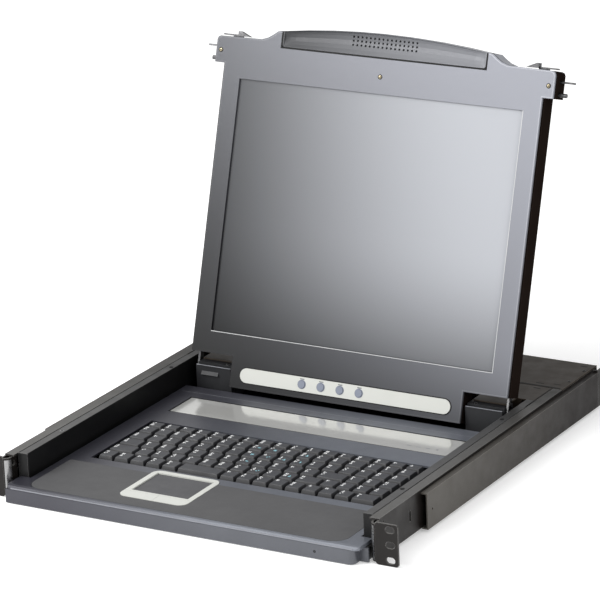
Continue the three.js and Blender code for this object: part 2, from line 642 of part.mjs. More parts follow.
// Silver surround of the touchpad, open over the pad and its two buttons
function touchpadFrame() {
  const plate = slab(padShape(0), DECK_TOP - 3, DECK_TOP + 0.5);
  const padRear = PAD.y + PAD.depth / 2;
  const opening = box(PAD_LEFT + PAD.rim, PAD_RIGHT - PAD.rim, BUTTON_REAR + 3, padRear - PAD.rim, 0, 30);
  const buttonZone = box(PAD_LEFT - 5, PAD_RIGHT + 5, PAD_FRONT - 5, BUTTON_REAR, 0, 30);
  return cut(plate, opening, buttonZone);
}

function touchpadSurface() {
  const inset = PAD.rim + PLAY;
  const y1 = PAD.y + PAD.depth / 2 - inset;
  return box(PAD_LEFT + inset, PAD_RIGHT - inset, BUTTON_REAR + 3 + PLAY, y1, DECK_TOP - 3, DECK_TOP - 0.8);
}

// Left or right click button: its share of the front strip of the surround
function clickButton(x0, x1) {
  const plate = slab(padShape(0), DECK_TOP - 4, DECK_TOP + 0.5);
  const share = box(x0, x1, PAD_FRONT - 5, BUTTON_REAR - PLAY, 0, 30);
  return common(plate, share);
}

function statusWindow() {
  return box(
    -WINDOW.x + PLAY, WINDOW.x - PLAY, WINDOW.front + PLAY, WINDOW.rear - PLAY,
    DECK_TOP - 1.9, DECK_TOP - 0.4,
  );
}

// Steel and membrane base of the keyboard, on two long supports
function keyboardBase() {
  const plate = box(-WELL.x + 0.5, WELL.x - 0.5, WELL.front + 0.5, WELL.rear - 0.5, 10.5, 12.2);
  const supports = [-1, 1].map((side) => box(side * 150, side * 158, WELL.front + 2, WELL.rear - 2, 2.8, 11));
  return join(plate, ...supports);
}

function rowDepth(row) {
  return KEY_PITCH * (row === KEY_ROWS.length - 1 ? FUNCTION_ROW_DEPTH : 1);
}

// Caps of one row, as [left, right] in millimetres
function capSpans(row) {
  let x = KEYS_LEFT;
  return KEY_ROWS[row].map((width) => {
    const span = [x + KEY_GAP / 2, x + width * KEY_PITCH - KEY_GAP / 2];
    x += width * KEY_PITCH;
    return span;
  });
}

function keyCap([x0, x1], y0, y1) {
  return box(x0, x1, y0, y1, KEY_BASE - 0.2, KEY_TOP);
}

// A row of caps on one thin carrier; the front row is split round the space bar, which is its own piece
function keyRow(row) {
  const y0 = KEYS_FRONT + row * KEY_PITCH + KEY_GAP / 2;
  const y1 = y0 + rowDepth(row) - KEY_GAP;
  const spans = capSpans(row);
  const caps = spans.filter((_, i) => row > 0 || i !== SPACE_BAR_INDEX).map((span) => keyCap(span, y0, y1));
  const carrier = box(spans[0][0], spans[spans.length - 1][1], y0, y1, KEY_BASE - 1, KEY_BASE);
  if (row > 0) return join(carrier, ...caps);
  const [barLeft, barRight] = spans[SPACE_BAR_INDEX];
  const barSpace = box(barLeft - PLAY, barRight + PLAY, y0 - 1, y1 - 1.5, KEY_BASE - 2, KEY_BASE + 1);
  return join(cut(carrier, barSpace), ...caps);
}

// Cap and skirt of the space bar; the skirt leaves room behind it for the carrier of the front row
function spaceBar() {
  const y0 = KEYS_FRONT + KEY_GAP / 2;
  const y1 = y0 + KEY_PITCH - KEY_GAP;
  const [x0, x1] = capSpans(0)[SPACE_BAR_INDEX];
  const cap = box(x0, x1, y0, y1, KEY_BASE + KEY_TRAVEL + 0.7, KEY_TOP);
  const skirt = box(x0, x1, y0, y1 - 2.1, KEY_BASE - 0.8, KEY_TOP - 1);
  return join(cap, skirt);
}

// Bent-out tongue on the front plate of the left housing
function housingTongue() {
  const { x0, x1, top, bottom, reach, sheet } = TONGUE;
  const y = HOUSING.front + 0.5;
  const tip = HOUSING.front - reach;
  const section = [[y, top], [tip, bottom], [tip + sheet, bottom], [y, bottom + 1.4]];
  return runAlongX(section, x0, x1);
}

// Front plate, floor and bearing block of one hinge; its axis runs along X
function hingeHousing(side) {
  const [x0, x1] = [side * HOUSING.inner, side * HOUSING.outer];
  const { front, rear, bottom } = HOUSING;
  const plate = box(x0, x1, front, front + HOUSING.plate, bottom, HOUSING.plateTop);
  const floor = box(x0, x1, front, rear, bottom, bottom + HOUSING.floor);
  const block = box(x0, x1, HOUSING.blockFront, rear, bottom, HOUSING.top);
  const bore = rodX(
    BARREL_RADIUS + 0.4, side * (HOUSING.inner + 5), side * (HOUSING.outer + 1), HINGE_Y, HINGE_Z,
  );
  const parts = side < 0 ? [plate, floor, block, housingTongue()] : [plate, floor, block];
  return cut(join(...parts), bore);
}

// Cover over the back of the drawer, with a folded front edge and a tongue over each hinge housing
function drawerRearCover() {
  const bottom = TOP - SHEET + PLAY;
  const plate = box(-WALL_OUTER, WALL_OUTER, REAR_COVER_FRONT, DRAWER_REAR + 0.5, bottom, TOP);
  const fold = box(-190, 190, REAR_COVER_FRONT, REAR_COVER_FRONT + SHEET, 24, bottom + 0.5);
  const tongues = SIDES.map(([, side]) => box(
    side * (HOUSING.inner + 2.5), side * (HOUSING.outer - 1.3), HINGE_Y + 0.8, REAR_COVER_FRONT + 1,
    bottom, TOP,
  ));
  return join(plate, fold, ...tongues);
}

for (const [name, side] of SIDES) {
  piece(`drawer_${name}_wall`, drawerWall(side), finish.darkPaint);
  piece(`hinge_housing_${name}`, hingeHousing(side), finish.darkPaint);
}
piece('drawer_pan', drawerPan(), finish.darkPaint);
piece('drawer_lip', drawerLip(), finish.deckPaint);
piece('power_light', powerLight(), finish.lens);
piece('keyboard_deck', keyboardDeck(), finish.deckPaint);
piece('palm_inlay', palmInlay(), finish.inlayPlastic);
piece('touchpad_frame', touchpadFrame(), finish.silverPaint);
piece('touchpad_surface', touchpadSurface(), finish.padPlastic);
piece('touchpad_left_button', clickButton(PAD_LEFT - 5, PAD_SPLIT - PLAY / 2), finish.silverPaint);
piece('touchpad_right_button', clickButton(PAD_SPLIT + PLAY / 2, PAD_RIGHT + 5), finish.silverPaint);
piece('status_window', statusWindow(), finish.windowPlastic);
piece('keyboard_base', keyboardBase(), finish.darkPaint);
KEY_ROWS.forEach((_, row) => piece(`key_row_${row + 1}`, keyRow(row), finish.keyPlastic));
piece('space_bar', spaceBar(), finish.keyPlastic);
piece('drawer_rear_cover', drawerRearCover(), finish.chassisPaint);

// ---------------------------------------------------------------- display lid, drawn flat in its own group

// Outline of the lid, drawn in by inset; grow widens the sides
function lidOutline(inset, grow) {
  const notch = LID.handleHalf + PLAY + inset;
  const side = LID.half + grow - inset;
  const tab = LID.tabHalf + grow * 0.6 - inset;
  const top = LID.top - inset;
  const corner = 4;
  const half = [
    [LID.centreHalf - inset, LID.centreBottom + inset],
    [LID.centreHalf - inset, LID.bottom + inset],
    [side, LID.bottom + inset],
    [side, LID.tabBottom + inset],
    [tab, LID.tabBottom + inset],
    [tab, top - corner],
    [tab - corner * 0.3, top - corner * 0.3],
    [tab - corner, top],
    ...WING.map(([x, y]) => [x, y - inset]),
    [notch + 1.7, LID.wingTop - inset],
    [notch, LID.wingTop - inset],
    [notch, LID.handleBottom - PLAY - inset],
  ];
  const mirrored = half.map(([x, y]) => [-x, y]).reverse();
  return outline([...half, ...mirrored]);
}

function buttonPlaces() {
  return Array.from({ length: BUTTON.count }, (_, i) => BUTTON.first + i * BUTTON.pitch);
}

// Front plate of the lid with the screen opening and the button holes
function lidBezel() {
  const body = slab(lidOutline(0, 0), PARTING, FACE);
  const opening = box(-SCREEN.half, SCREEN.half, SCREEN.bottom, SCREEN.top, 0, FACE + 1);
  const holes = buttonPlaces().map((x) => rodZ(BUTTON.radius + 0.4, PARTING - 1, FACE + 1, x, STRIP.middle));
  return cut(body, opening, ...holes);
}

// Back shell of the lid, with slots for the hinge arms, the lock pins, the blades and links of the release
// catches, and the tongue of the left hinge housing
function lidBackCover() {
  const top = PARTING - PLAY;
  const body = slab(lidOutline(0, 2), BACK, top);
  const pocket = slab(lidOutline(LID_WALL, 2), BACK + 2, top + 1);
  const slots = SIDES.flatMap(([, side]) => [
    box(
      side * 199, side * 207, LOCK_PIN.height - 2.8, LOCK_PIN.height + 2.8,
      LOCK_PIN.depth - 2.8, LOCK_PIN.depth + 2.8,
    ),
    box(side * 199, side * 207, 342.2, 345.6, -2.8, 6.2),
    box(side * 172.4, side * 190.8, 351, 357, LOCK_PIN.depth - 1.6, LOCK_PIN.depth + 1.6),
    box(side * (ARM.inner - 0.6), side * (ARM.outer + 0.3), 10, 20, -3.4, 5.4),
  ]);
  const tongueSlot = box(TONGUE.x0 - 1.2, TONGUE.x1 + 2, 12.5, 17, 2.5, 10.5);
  return cut(body, pocket, ...slots, tongueSlot);
}

// Display module: the metal can and the panel that shows in the bezel opening
function lcdPanel() {
  const can = box(-178.5, 178.5, 30, 319, FACE - 10.8, PARTING - PLAY);
  const glass = box(
    -SCREEN.half + 0.4, SCREEN.half - 0.4, SCREEN.bottom + 0.4, SCREEN.top - 0.4, FACE - 4, FACE - 2.3,
  );
  return join(can, glass);
}

function lidControlBoard() {
  const board = box(-112, 112, -16, 8, 1.4, 3);
  const chips = [-40, 40].map((x) => box(x - 8, x + 8, -10, 4, -1.5, 2));
  return join(board, ...chips);
}

function stadium(halfLength, halfHeight, middle) {
  return roundedRectangle(-halfLength, halfLength, middle - halfHeight, middle + halfHeight, halfHeight - 0.01);
}

// Silver strip across the foot of the lid, round at both ends
function controlStrip() {
  const shape = stadium(STRIP.half, STRIP.halfHeight, STRIP.middle);
  const strip = slab(shape, FACE + PLAY, FACE + PLAY + 1, 8);
  const holes = buttonPlaces().map((x) => rodZ(BUTTON.radius + 0.4, FACE - 1, FACE + 3, x, STRIP.middle));
  return cut(strip, ...holes);
}

function controlButton(x) {
  return join(
    rodZ(BUTTON.radius, 6.5, FACE + 2.2, x, STRIP.middle),
    rodZ(BUTTON.radius + 1.4, PARTING - 2, PARTING - 0.4, x, STRIP.middle),
  );
}

// Height of the bowed top edge of the handle at x
function handleTopAt(x) {
  const share = x / LID.handleHalf;
  return LID.handleTop - (LID.handleTop - LID.handleEnd) * share * share;
}

function bowedOutline() {
  const { handleHalf: half, handleBottom: bottom, handleEnd, handleTop } = LID;
  const shape = new THREE.Shape();
  shape.moveTo(HANDLE_CORNER - half, bottom);
  shape.lineTo(half - HANDLE_CORNER, bottom);
  shape.quadraticCurveTo(half, bottom, half, bottom + HANDLE_CORNER);
  shape.lineTo(half, handleEnd);
  shape.quadraticCurveTo(0, 2 * handleTop - handleEnd, -half, handleEnd);
  shape.lineTo(-half, bottom + HANDLE_CORNER);
  shape.quadraticCurveTo(-half, bottom, HANDLE_CORNER - half, bottom);
  return shape;
}

// Solid that is cut away to leave the scooped face of the handle; it fades out at both ends
function handleScoop() {
  const stations = [-120.6, -119, -115, -108, -90, -60, -30, 0, 30, 60, 90, 108, 115, 119, 120.6];
  return loft(stations.map((x) => {
    const height = handleTopAt(x) - LID.handleBottom;
    const fade = Math.min(1, Math.sqrt((LID.handleHalf - Math.abs(x)) / 12));
    const curve = SCOOP.map(([share, depth]) => [x, LID.handleBottom + share * height, FACE - depth * fade]);
    const [first, last] = [curve[0], curve[curve.length - 1]];
    return [[first[0], first[1], FACE + 1], ...curve, [last[0], last[1], FACE + 1]];
  }));
}

// Centres of the small dimples in the face of the pull handle
function grillePlaces() {
  const places = [];
  for (let row = 0; row < GRILLE.rows; row += 1) {
    for (let column = 0; column < GRILLE.columns; column += 1) {
      places.push([(column - (GRILLE.columns - 1) / 2) * GRILLE.pitchX, GRILLE.top - row * GRILLE.pitchY]);
    }
  }
  return places;
}

// Pull handle: bowed bar with a scooped face and a grille of dimples, hollow from below where it seats
function pullHandle() {
  const dimples = grillePlaces().map(([x, y]) => new THREE.Shape().absarc(x, y, GRILLE.radius, 0, Math.PI * 2));
  const inside = LID.handleHalf - 3;
  const hollow = box(-inside, inside, LID.handleBottom - 1, LID.handleEnd - 3, BACK + 2.5, FACE - 6.5);
  const face = slab(dimples, FACE - GRILLE.depth, FACE + 1, 3);
  return cut(slab(bowedOutline(), BACK, FACE, 8), hollow, handleScoop(), face);
}

// Sliding release catch: web inside the lid, lock pin and blade at the side, finger tab on top
function releaseCatch(side) {
  const thickness = [LOCK_PIN.depth - 1, LOCK_PIN.depth + 1];
  const web = box(side * 165, side * 200, 328.5, 350, ...thickness);
  const blade = box(side * 198, side * 219, 342.9, 344.9, -2, 5.4);
  const pin = rodX(LOCK_PIN.radius, side * 195, side * LOCK_PIN.tip, LOCK_PIN.height, LOCK_PIN.depth, 12);
  const link = box(side * 178, side * 190, 349, 357, ...thickness);
  const shelf = box(side * 179, side * 200, 356.1, 357.7, 0.5, 8.5);
  const ramp = [[166, 356.1], [178.5, 361.4], [180.5, 361.4], [180.5, 356.1]];
  const tab = slab(outline(ramp.map(([x, y]) => [side * x, y])), 4, 11);
  return join(web, blade, pin, link, shelf, tab);
}

// Steel arm and barrel that carry the lid
function hingeArm(side) {
  const arm = box(side * ARM.inner, side * ARM.outer, -3.2, ARM.top, -2.6, 4.6);
  const barrel = rodX(BARREL_RADIUS, side * (HOUSING.inner + 6), side * (ARM.inner + 1), 0, 0);
  return join(arm, barrel);
}

piece('lid_bezel', lidBezel(), finish.bezelPaint, lid);
piece('lid_back_cover', lidBackCover(), finish.darkPaint, lid);
piece('lcd_panel', lcdPanel(), finish.screen, lid);
piece('lid_control_board', lidControlBoard(), finish.board, lid);
piece('control_strip', controlStrip(), finish.silverPaint, lid);
buttonPlaces().forEach((x, i) => piece(`control_button_${i + 1}`, controlButton(x), finish.buttonPlastic, lid));
piece('pull_handle', pullHandle(), finish.bezelPaint, lid);
for (const [name, side] of SIDES) {
  piece(`release_catch_${name}`, releaseCatch(side), finish.steel, lid);
  piece(`hinge_arm_${name}`, hingeArm(side), finish.steel, lid);
}

assembly.position.y = -(BRACKET_REAR + LIP_FRONT) / 2;

export default assembly;
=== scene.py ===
"""Rack-mounted KVM console drawer: the looks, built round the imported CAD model.

The frame is in metres: +X to the operator's right, +Y to the back of the rack, +Z up. New pieces are drawn in
millimetres, in the base's axes (Y from the front plane of the ears) or in the lid's own axes.
"""

import json
import math
import random

import bmesh
import bpy
from mathutils import Matrix, Vector


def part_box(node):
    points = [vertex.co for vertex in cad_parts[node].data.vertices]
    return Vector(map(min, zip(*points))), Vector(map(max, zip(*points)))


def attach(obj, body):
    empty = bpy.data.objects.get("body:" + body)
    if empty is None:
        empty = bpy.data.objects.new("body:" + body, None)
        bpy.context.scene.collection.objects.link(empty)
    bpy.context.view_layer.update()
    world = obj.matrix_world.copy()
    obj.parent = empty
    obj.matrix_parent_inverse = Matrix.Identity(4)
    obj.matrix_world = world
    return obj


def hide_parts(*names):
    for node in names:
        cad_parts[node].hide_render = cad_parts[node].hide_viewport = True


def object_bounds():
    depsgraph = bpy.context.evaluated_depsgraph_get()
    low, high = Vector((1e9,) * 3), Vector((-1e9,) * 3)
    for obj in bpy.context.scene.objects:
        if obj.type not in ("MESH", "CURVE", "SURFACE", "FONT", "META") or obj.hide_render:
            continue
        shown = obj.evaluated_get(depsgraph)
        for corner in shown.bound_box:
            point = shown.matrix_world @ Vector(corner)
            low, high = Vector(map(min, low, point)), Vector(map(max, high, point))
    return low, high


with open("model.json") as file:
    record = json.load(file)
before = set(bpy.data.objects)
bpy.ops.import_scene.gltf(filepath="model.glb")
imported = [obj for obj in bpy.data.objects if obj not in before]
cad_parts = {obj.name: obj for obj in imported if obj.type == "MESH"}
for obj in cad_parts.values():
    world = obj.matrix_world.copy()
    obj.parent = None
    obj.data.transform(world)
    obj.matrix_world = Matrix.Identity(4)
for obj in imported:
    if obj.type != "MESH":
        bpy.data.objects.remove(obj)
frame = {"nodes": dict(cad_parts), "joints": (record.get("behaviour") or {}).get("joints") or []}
CAD_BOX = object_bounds()
MM = 0.001
SIDES = (("left", -1), ("right", 1))
NODES = frame["nodes"]
JOINTS = {joint["name"]: joint for joint in frame["joints"]}
DATUM_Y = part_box("chassis_left_plate")[0].y          # front plane of the rack ears

# ------------------------------------------------------------------ the lid's own axes
# Up along the lid from the hinge axis, and out of its face. The press of a control button runs into the lid,
# so it gives the lean.

HINGE = Vector(JOINTS["lid_hinge"]["pos_m"])
_press = JOINTS["control_button_1_press"]["axis"]
LEAN = math.atan2(-_press[2], _press[1])
LID_UP = Vector((0, math.sin(LEAN), math.cos(LEAN)))
LID_OUT = Vector((0, -math.cos(LEAN), math.sin(LEAN)))
LID_MATRIX = Matrix.Translation(HINGE) @ Matrix(
    ((1, 0, 0, 0), (0, LID_UP.y, LID_OUT.y, 0), (0, LID_UP.z, LID_OUT.z, 0), (0, 0, 0, 1))
)


# ------------------------------------------------------------------ camera and light

# Angles in degrees, lens and sensor in millimetres
CAMERA = {
    "target": Vector((0.2074, -0.3929, 0.3008)), "distance": 3.5111,
    "azimuth": 30.78, "elevation": 18.47, "roll": -2.45, "lens": 229.45, "sensor": 36,
}


def add_camera():
    """A long lens, turned a little about its own axis, with no shift."""
    azimuth, elevation = math.radians(CAMERA["azimuth"]), math.radians(CAMERA["elevation"])
    back = Vector((
        math.sin(azimuth) * math.cos(elevation), -math.cos(azimuth) * math.cos(elevation),
        math.sin(elevation),
    ))
    right = Vector((0, 0, 1)).cross(back).normalized()
    up = back.cross(right)
    roll = math.radians(CAMERA["roll"])
    right, up = right * math.cos(roll) + up * math.sin(roll), up * math.cos(roll) - right * math.sin(roll)
    data = bpy.data.cameras.new("camera")
    data.lens = CAMERA["lens"]
    data.sensor_width = CAMERA["sensor"]
    camera = bpy.data.objects.new("camera", data)
    place = CAMERA["target"] + back * CAMERA["distance"]
    camera.matrix_world = Matrix.Translation(place) @ Matrix((right, up, back)).transposed().to_4x4()
    bpy.context.scene.collection.objects.link(camera)
    bpy.context.scene.camera = camera


def area_light(name, place, aim, size, power):
    data = bpy.data.lights.new(name, "AREA")
    data.shape = "RECTANGLE"
    data.size, data.size_y = size
    data.energy = power
    light = bpy.data.objects.new(name, data)
    light.location = place
    light.rotation_euler = (Vector(aim) - Vector(place)).to_track_quat("-Z", "Y").to_euler()
    bpy.context.scene.collection.objects.link(light)


# Name, place, aim, size in metres and power in watts of each soft light
LIGHTS = (
    ("key_soft", (-1.2, -1.6, 2.6), (0, 0, 0.1), (2.2, 2.2), 45),
    ("screen_panel", (-1.35, -1.5, 1.25), (0.1, 0, 0.3), (1.1, 1.0), 30),
    ("right_fill", (2.4, -1.0, 1.0), (0, 0, 0.05), (1.6, 1.6), 18),
)
FLOOR_SIZE = 40
FLOOR_GAP = 0.0005                                   # under the object
FLOOR_GLOW = 0.32
STUDIO_GLOW = 0.75


def add_stage():
    """Plain pale floor, pale surroundings and large soft lights."""
    bpy.ops.mesh.primitive_plane_add(size=FLOOR_SIZE, location=(0, 0, CAD_BOX[0][2] - FLOOR_GAP))
    floor = bpy.context.object
    floor.name = "floor"
    surface = Surface("floor_pale")
    surface.set(base=(0.86, 0.86, 0.86), roughness=0.9, specular=0.1)
    surface.shader.inputs["Emission Color"].default_value = (1, 1, 1, 1)
    surface.shader.inputs["Emission Strength"].default_value = FLOOR_GLOW
    floor.data.materials.append(surface.material)
    world = bpy.data.worlds.new("studio")
    world.use_nodes = True
    background = world.node_tree.nodes["Background"]
    background.inputs["Color"].default_value = (1, 1, 1, 1)
    background.inputs["Strength"].default_value = STUDIO_GLOW
    bpy.context.scene.world = world
    for light in LIGHTS:
        area_light(*light)
    bpy.context.scene.view_settings.view_transform = "Standard"


# ------------------------------------------------------------------ materials

class Surface:
    """A principled material, with helpers for the few node patterns that the finishes share."""

    def __init__(self, name):
        self.material = bpy.data.materials.new(name)
        self.material.use_nodes = True
        self.nodes = self.material.node_tree.nodes
        self.links = self.material.node_tree.links
        self.shader = self.nodes["Principled BSDF"]
        self.place = self.nodes.new("ShaderNodeTexCoord").outputs["Object"]

    def set(self, base=None, roughness=None, metallic=None, specular=None, coat=None, coat_roughness=None):
        values = {
            "Base Color": (*base, 1) if base else None, "Roughness": roughness, "Metallic": metallic,
            "Specular IOR Level": specular, "Coat Weight": coat, "Coat Roughness": coat_roughness,
        }
        for name, value in values.items():
            if value is not None:
                self.shader.inputs[name].default_value = value
        return self

    def noise(self, scale, detail, stretch=(1, 1, 1)):
        """Noise in the object's own metres; scale is in features per metre."""
        mapping = self.nodes.new("ShaderNodeMapping")
        mapping.inputs["Scale"].default_value = stretch
        self.links.new(self.place, mapping.inputs["Vector"])
        texture = self.nodes.new("ShaderNodeTexNoise")
        texture.inputs["Scale"].default_value = scale
        texture.inputs["Detail"].default_value = detail
        self.links.new(mapping.outputs["Vector"], texture.inputs["Vector"])
        return texture.outputs["Fac"]

    def ramp(self, source, low, high, start=0.3, end=0.7):
        """Maps a value to a colour or a grey level between low and high."""
        node = self.nodes.new("ShaderNodeMapRange")
        node.inputs["From Min"].default_value = start
        node.inputs["From Max"].default_value = end
        if isinstance(low, tuple):
            self.links.new(source, node.inputs["Value"])
            mix = self.nodes.new("ShaderNodeMix")
            mix.data_type = "RGBA"
            mix.inputs["A"].default_value = (*low, 1)
            mix.inputs["B"].default_value = (*high, 1)
            self.links.new(node.outputs["Result"], mix.inputs["Factor"])
            return mix.outputs["Result"]
        node.inputs["To Min"].default_value = low
        node.inputs["To Max"].default_value = high
        self.links.new(source, node.inputs["Value"])
        return node.outputs["Result"]

    def mix(self, tone, light, share):
        """Mixes a plain colour into a tone by share, from 0 to 1."""
        node = self.nodes.new("ShaderNodeMix")
        node.data_type = "RGBA"
        self.links.new(tone, node.inputs["A"])
        node.inputs["B"].default_value = (*light, 1)
        self.links.new(share, node.inputs["Factor"])
        return node.outputs["Result"]

    def along(self, axis):
        """The object's own coordinate along X, Y or Z, in metres."""
        split = self.nodes.new("ShaderNodeSeparateXYZ")
        self.links.new(self.place, split.inputs["Vector"])
        return split.outputs[axis]

    def math(self, operation, *values):
        """One Math node; each value is a plain number or another node's output."""
        node = self.nodes.new("ShaderNodeMath")
        node.operation = operation
        for slot, value in enumerate(values):
            if isinstance(value, (int, float)):
                node.inputs[slot].default_value = value
            else:
                self.links.new(value, node.inputs[slot])
        return node.outputs["Value"]

    def color(self, source):
        self.links.new(source, self.shader.inputs["Base Color"])

    def rough(self, source):
        self.links.new(source, self.shader.inputs["Roughness"])

    def bump(self, source, height, strength):
        """Fine relief; height is its depth in metres. The last step of a finish, so it gives the material."""
        node = self.nodes.new("ShaderNodeBump")
        node.inputs["Distance"].default_value = height
        node.inputs["Strength"].default_value = strength
        self.links.new(source, node.inputs["Height"])
        self.links.new(node.outputs["Normal"], self.shader.inputs["Normal"])
        return self.material

    def edge_wear_and_highlight(self, color, light, radius, strength):
        """Mixes a paler colour in along sharp edges: partly rubbed paint, partly a painted highlight."""
        bevel = self.nodes.new("ShaderNodeBevel")
        bevel.inputs["Radius"].default_value = radius
        geometry = self.nodes.new("ShaderNodeNewGeometry")
        dot = self.nodes.new("ShaderNodeVectorMath")
        dot.operation = "DOT_PRODUCT"
        self.links.new(bevel.outputs["Normal"], dot.inputs[0])
        self.links.new(geometry.outputs["Normal"], dot.inputs[1])
        return self.mix(color, light, self.ramp(dot.outputs["Value"], strength, 0.0, 0.75, 0.97))


# Where the painted light, a paler tone at the front of the rack, starts to fade and has gone, from the front
# plane of the ears
FRONT_LIGHT_SPAN = (0.12, 0.42)


# The normal's Z from which a face starts to count as a top face, and from which it fully does
UPRIGHT_SPAN = (0.5, 0.95)


def turned_up(surface):
    """1 where the surface faces straight up at rest, falling to 0 on its sides; it keeps painted light to the
    top faces.
    """
    geometry = surface.nodes.new("ShaderNodeNewGeometry")
    turn = surface.nodes.new("ShaderNodeSeparateXYZ")
    surface.links.new(geometry.outputs["Normal"], turn.inputs["Vector"])
    return surface.ramp(turn.outputs["Z"], 0.0, 1.0, *UPRIGHT_SPAN)


def painted_front_light(surface, tone, light, on_top):
    """Mixes in painted light, a paler tone that fades out towards the back of the rack; on_top keeps it to
    the top faces.
    """
    front, rear = (DATUM_Y + distance for distance in FRONT_LIGHT_SPAN)
    fade = surface.ramp(surface.along("Y"), 1.0, 0.0, front, rear)
    if on_top:
        fade = surface.math("MULTIPLY", fade, turned_up(surface))
    return surface.mix(tone, light, fade)


# Paler sharp edges, part rubbed paint and part painted highlight: gain over the paint's tone, radius in
# metres, strength
EDGE_WEAR_AND_HIGHLIGHT = {"gain": 3.2, "radius": 0.0007, "strength": 0.6}


def powder_coat(name, dark, light, roughness, specular, front=None, on_top=False):
    """Fine orange-peel paint over sheet steel; front is a painted light, its paler tone at the front of the
    rack.
    """
    surface = Surface(name).set(specular=specular)
    tone = surface.ramp(surface.noise(14, 4), dark, light)
    if front:
        tone = painted_front_light(surface, tone, front, on_top)
    bright = tuple(min(1, channel * EDGE_WEAR_AND_HIGHLIGHT["gain"]) for channel in (front or light))
    surface.color(surface.edge_wear_and_highlight(tone, bright, EDGE_WEAR_AND_HIGHLIGHT["radius"], EDGE_WEAR_AND_HIGHLIGHT["strength"]))
    surface.rough(surface.ramp(surface.noise(60, 3), roughness - 0.06, roughness + 0.08))
    return surface.bump(surface.noise(2600, 2), 0.00004, 0.6)


# The left tone here is a painted shade
LEFT_SHADE_SPAN = (-0.16, 0.04)                            # where a paint turns from its left tone to its own, in X


def metallic_paint(name, dark, light, roughness, left=None):
    """Blue-grey paint with a fine metal flake under a satin coat; left is a painted shade, a darker tone
    towards the left side.
    """
    surface = Surface(name).set(metallic=0.35, coat=0.25, coat_roughness=0.25)
    flake = surface.noise(5200, 0)
    broad = surface.ramp(surface.noise(40, 3), dark, light)
    if left:
        broad = surface.mix(broad, left, surface.ramp(surface.along("X"), 1.0, 0.0, *LEFT_SHADE_SPAN))
    mix = surface.nodes.new("ShaderNodeMix")
    mix.data_type = "RGBA"
    mix.blend_type = "SOFT_LIGHT"
    mix.inputs["Factor"].default_value = 0.25
    surface.links.new(broad, mix.inputs["A"])
    surface.links.new(surface.ramp(flake, (0.3, 0.3, 0.32), (0.75, 0.76, 0.8)), mix.inputs["B"])
    surface.color(mix.outputs["Result"])
    surface.rough(surface.ramp(surface.noise(35, 3), roughness - 0.04, roughness + 0.06))
    return surface.bump(flake, 0.000015, 0.5)


def moulded(name, dark, light, roughness, grain=1800, depth=0.00004, top=None):
    """Moulded plastic with a spark-eroded grain; top is a painted light, a paler tone on its top faces."""
    surface = Surface(name).set(specular=0.45)
    tone = surface.ramp(surface.noise(25, 4), dark, light)
    surface.color(surface.mix(tone, top, turned_up(surface)) if top else tone)
    surface.rough(surface.ramp(surface.noise(80, 3), roughness - 0.05, roughness + 0.07))
    return surface.bump(surface.noise(grain, 3), depth, 0.6)


def plated_steel(name, dark, light, roughness, stretch=(1, 1, 1)):
    """Bright zinc plate with a faint grain along its length."""
    surface = Surface(name).set(metallic=1.0)
    surface.color(surface.ramp(surface.noise(40, 4), dark, light))
    surface.rough(surface.ramp(surface.noise(300, 3, stretch), roughness - 0.08, roughness + 0.12))
    return surface.bump(surface.noise(900, 2, stretch), 0.00001, 0.5)


def lid_shade(surface, color, across, up, tilt):
    """A painted shade: the colour darkens towards the lid's lower left.

    across and up are each (start, end, floor): where the fade starts and ends in metres, and the share of
    the colour that is left at its dark end. tilt leans the lines of the sideways fade: it is how far they
    move to the left for each metre up.
    """
    leaning = surface.math("MULTIPLY_ADD", surface.along("Z"), tilt, surface.along("X"))
    fades = []
    for source, (start, end, floor) in ((leaning, across), (surface.along("Z"), up)):
        fade = surface.nodes.new("ShaderNodeMapRange")
        fade.interpolation_type = "SMOOTHSTEP"
        for name, value in (("From Min", start), ("From Max", end), ("To Min", floor), ("To Max", 1.0)):
            fade.inputs[name].default_value = value
        surface.links.new(source, fade.inputs["Value"])
        fades.append(fade.outputs["Result"])
    return surface.ramp(surface.math("MULTIPLY", *fades), (0.0, 0.0, 0.0), color, 0.0, 1.0)


def display_surface():
    """Anti-glare film over a dark panel, with a painted shade that leaves it paler towards its upper right.
    """
    surface = Surface("display_film").set(specular=0.15)
    surface.color(lid_shade(surface, (0.357, 0.367, 0.392), (-0.22, 0.215, 0.03), (-0.01, 0.198, 0.03), 0.2))
    surface.rough(surface.ramp(surface.noise(200, 2), 0.38, 0.44))
    return surface.bump(surface.noise(9000, 1), 0.000006, 0.4)


def bezel_surface(name, color, across, up, tilt):
    """Blue-grey satin paint of the lid's front plate and handle, with a fine flake and a painted shade
    towards the lower left.
    """
    surface = Surface(name).set(metallic=0.1, specular=0.3)
    surface.color(lid_shade(surface, color, across, up, tilt))
    surface.rough(surface.ramp(surface.noise(300, 2), 0.36, 0.42))
    return surface.bump(surface.noise(5200, 0), 0.000012, 0.5)


def window_surface():
    """Glossy grey strip that mirrors what stands behind it."""
    surface = Surface("window_gloss").set(metallic=0.45, coat=0.5, coat_roughness=0.08)
    surface.color(surface.ramp(surface.noise(18, 2), (0.53, 0.53, 0.51), (0.57, 0.57, 0.55)))
    surface.rough(surface.ramp(surface.noise(120, 2), 0.09, 0.14))
    return surface.bump(surface.noise(60, 1), 0.00001, 0.2)


def board_surface():
    surface = Surface("solder_mask").set(specular=0.5, coat=0.4)
    surface.color(surface.ramp(surface.noise(700, 2, (1, 0.15, 1)), (0.012, 0.07, 0.025), (0.03, 0.14, 0.05)))
    surface.rough(surface.ramp(surface.noise(90, 2), 0.3, 0.45))
    return surface.bump(surface.noise(900, 1, (1, 0.15, 1)), 0.00003, 0.6)


STEEL_BLACK = (0.0030, 0.0030, 0.0032), (0.0048, 0.0048, 0.0050)
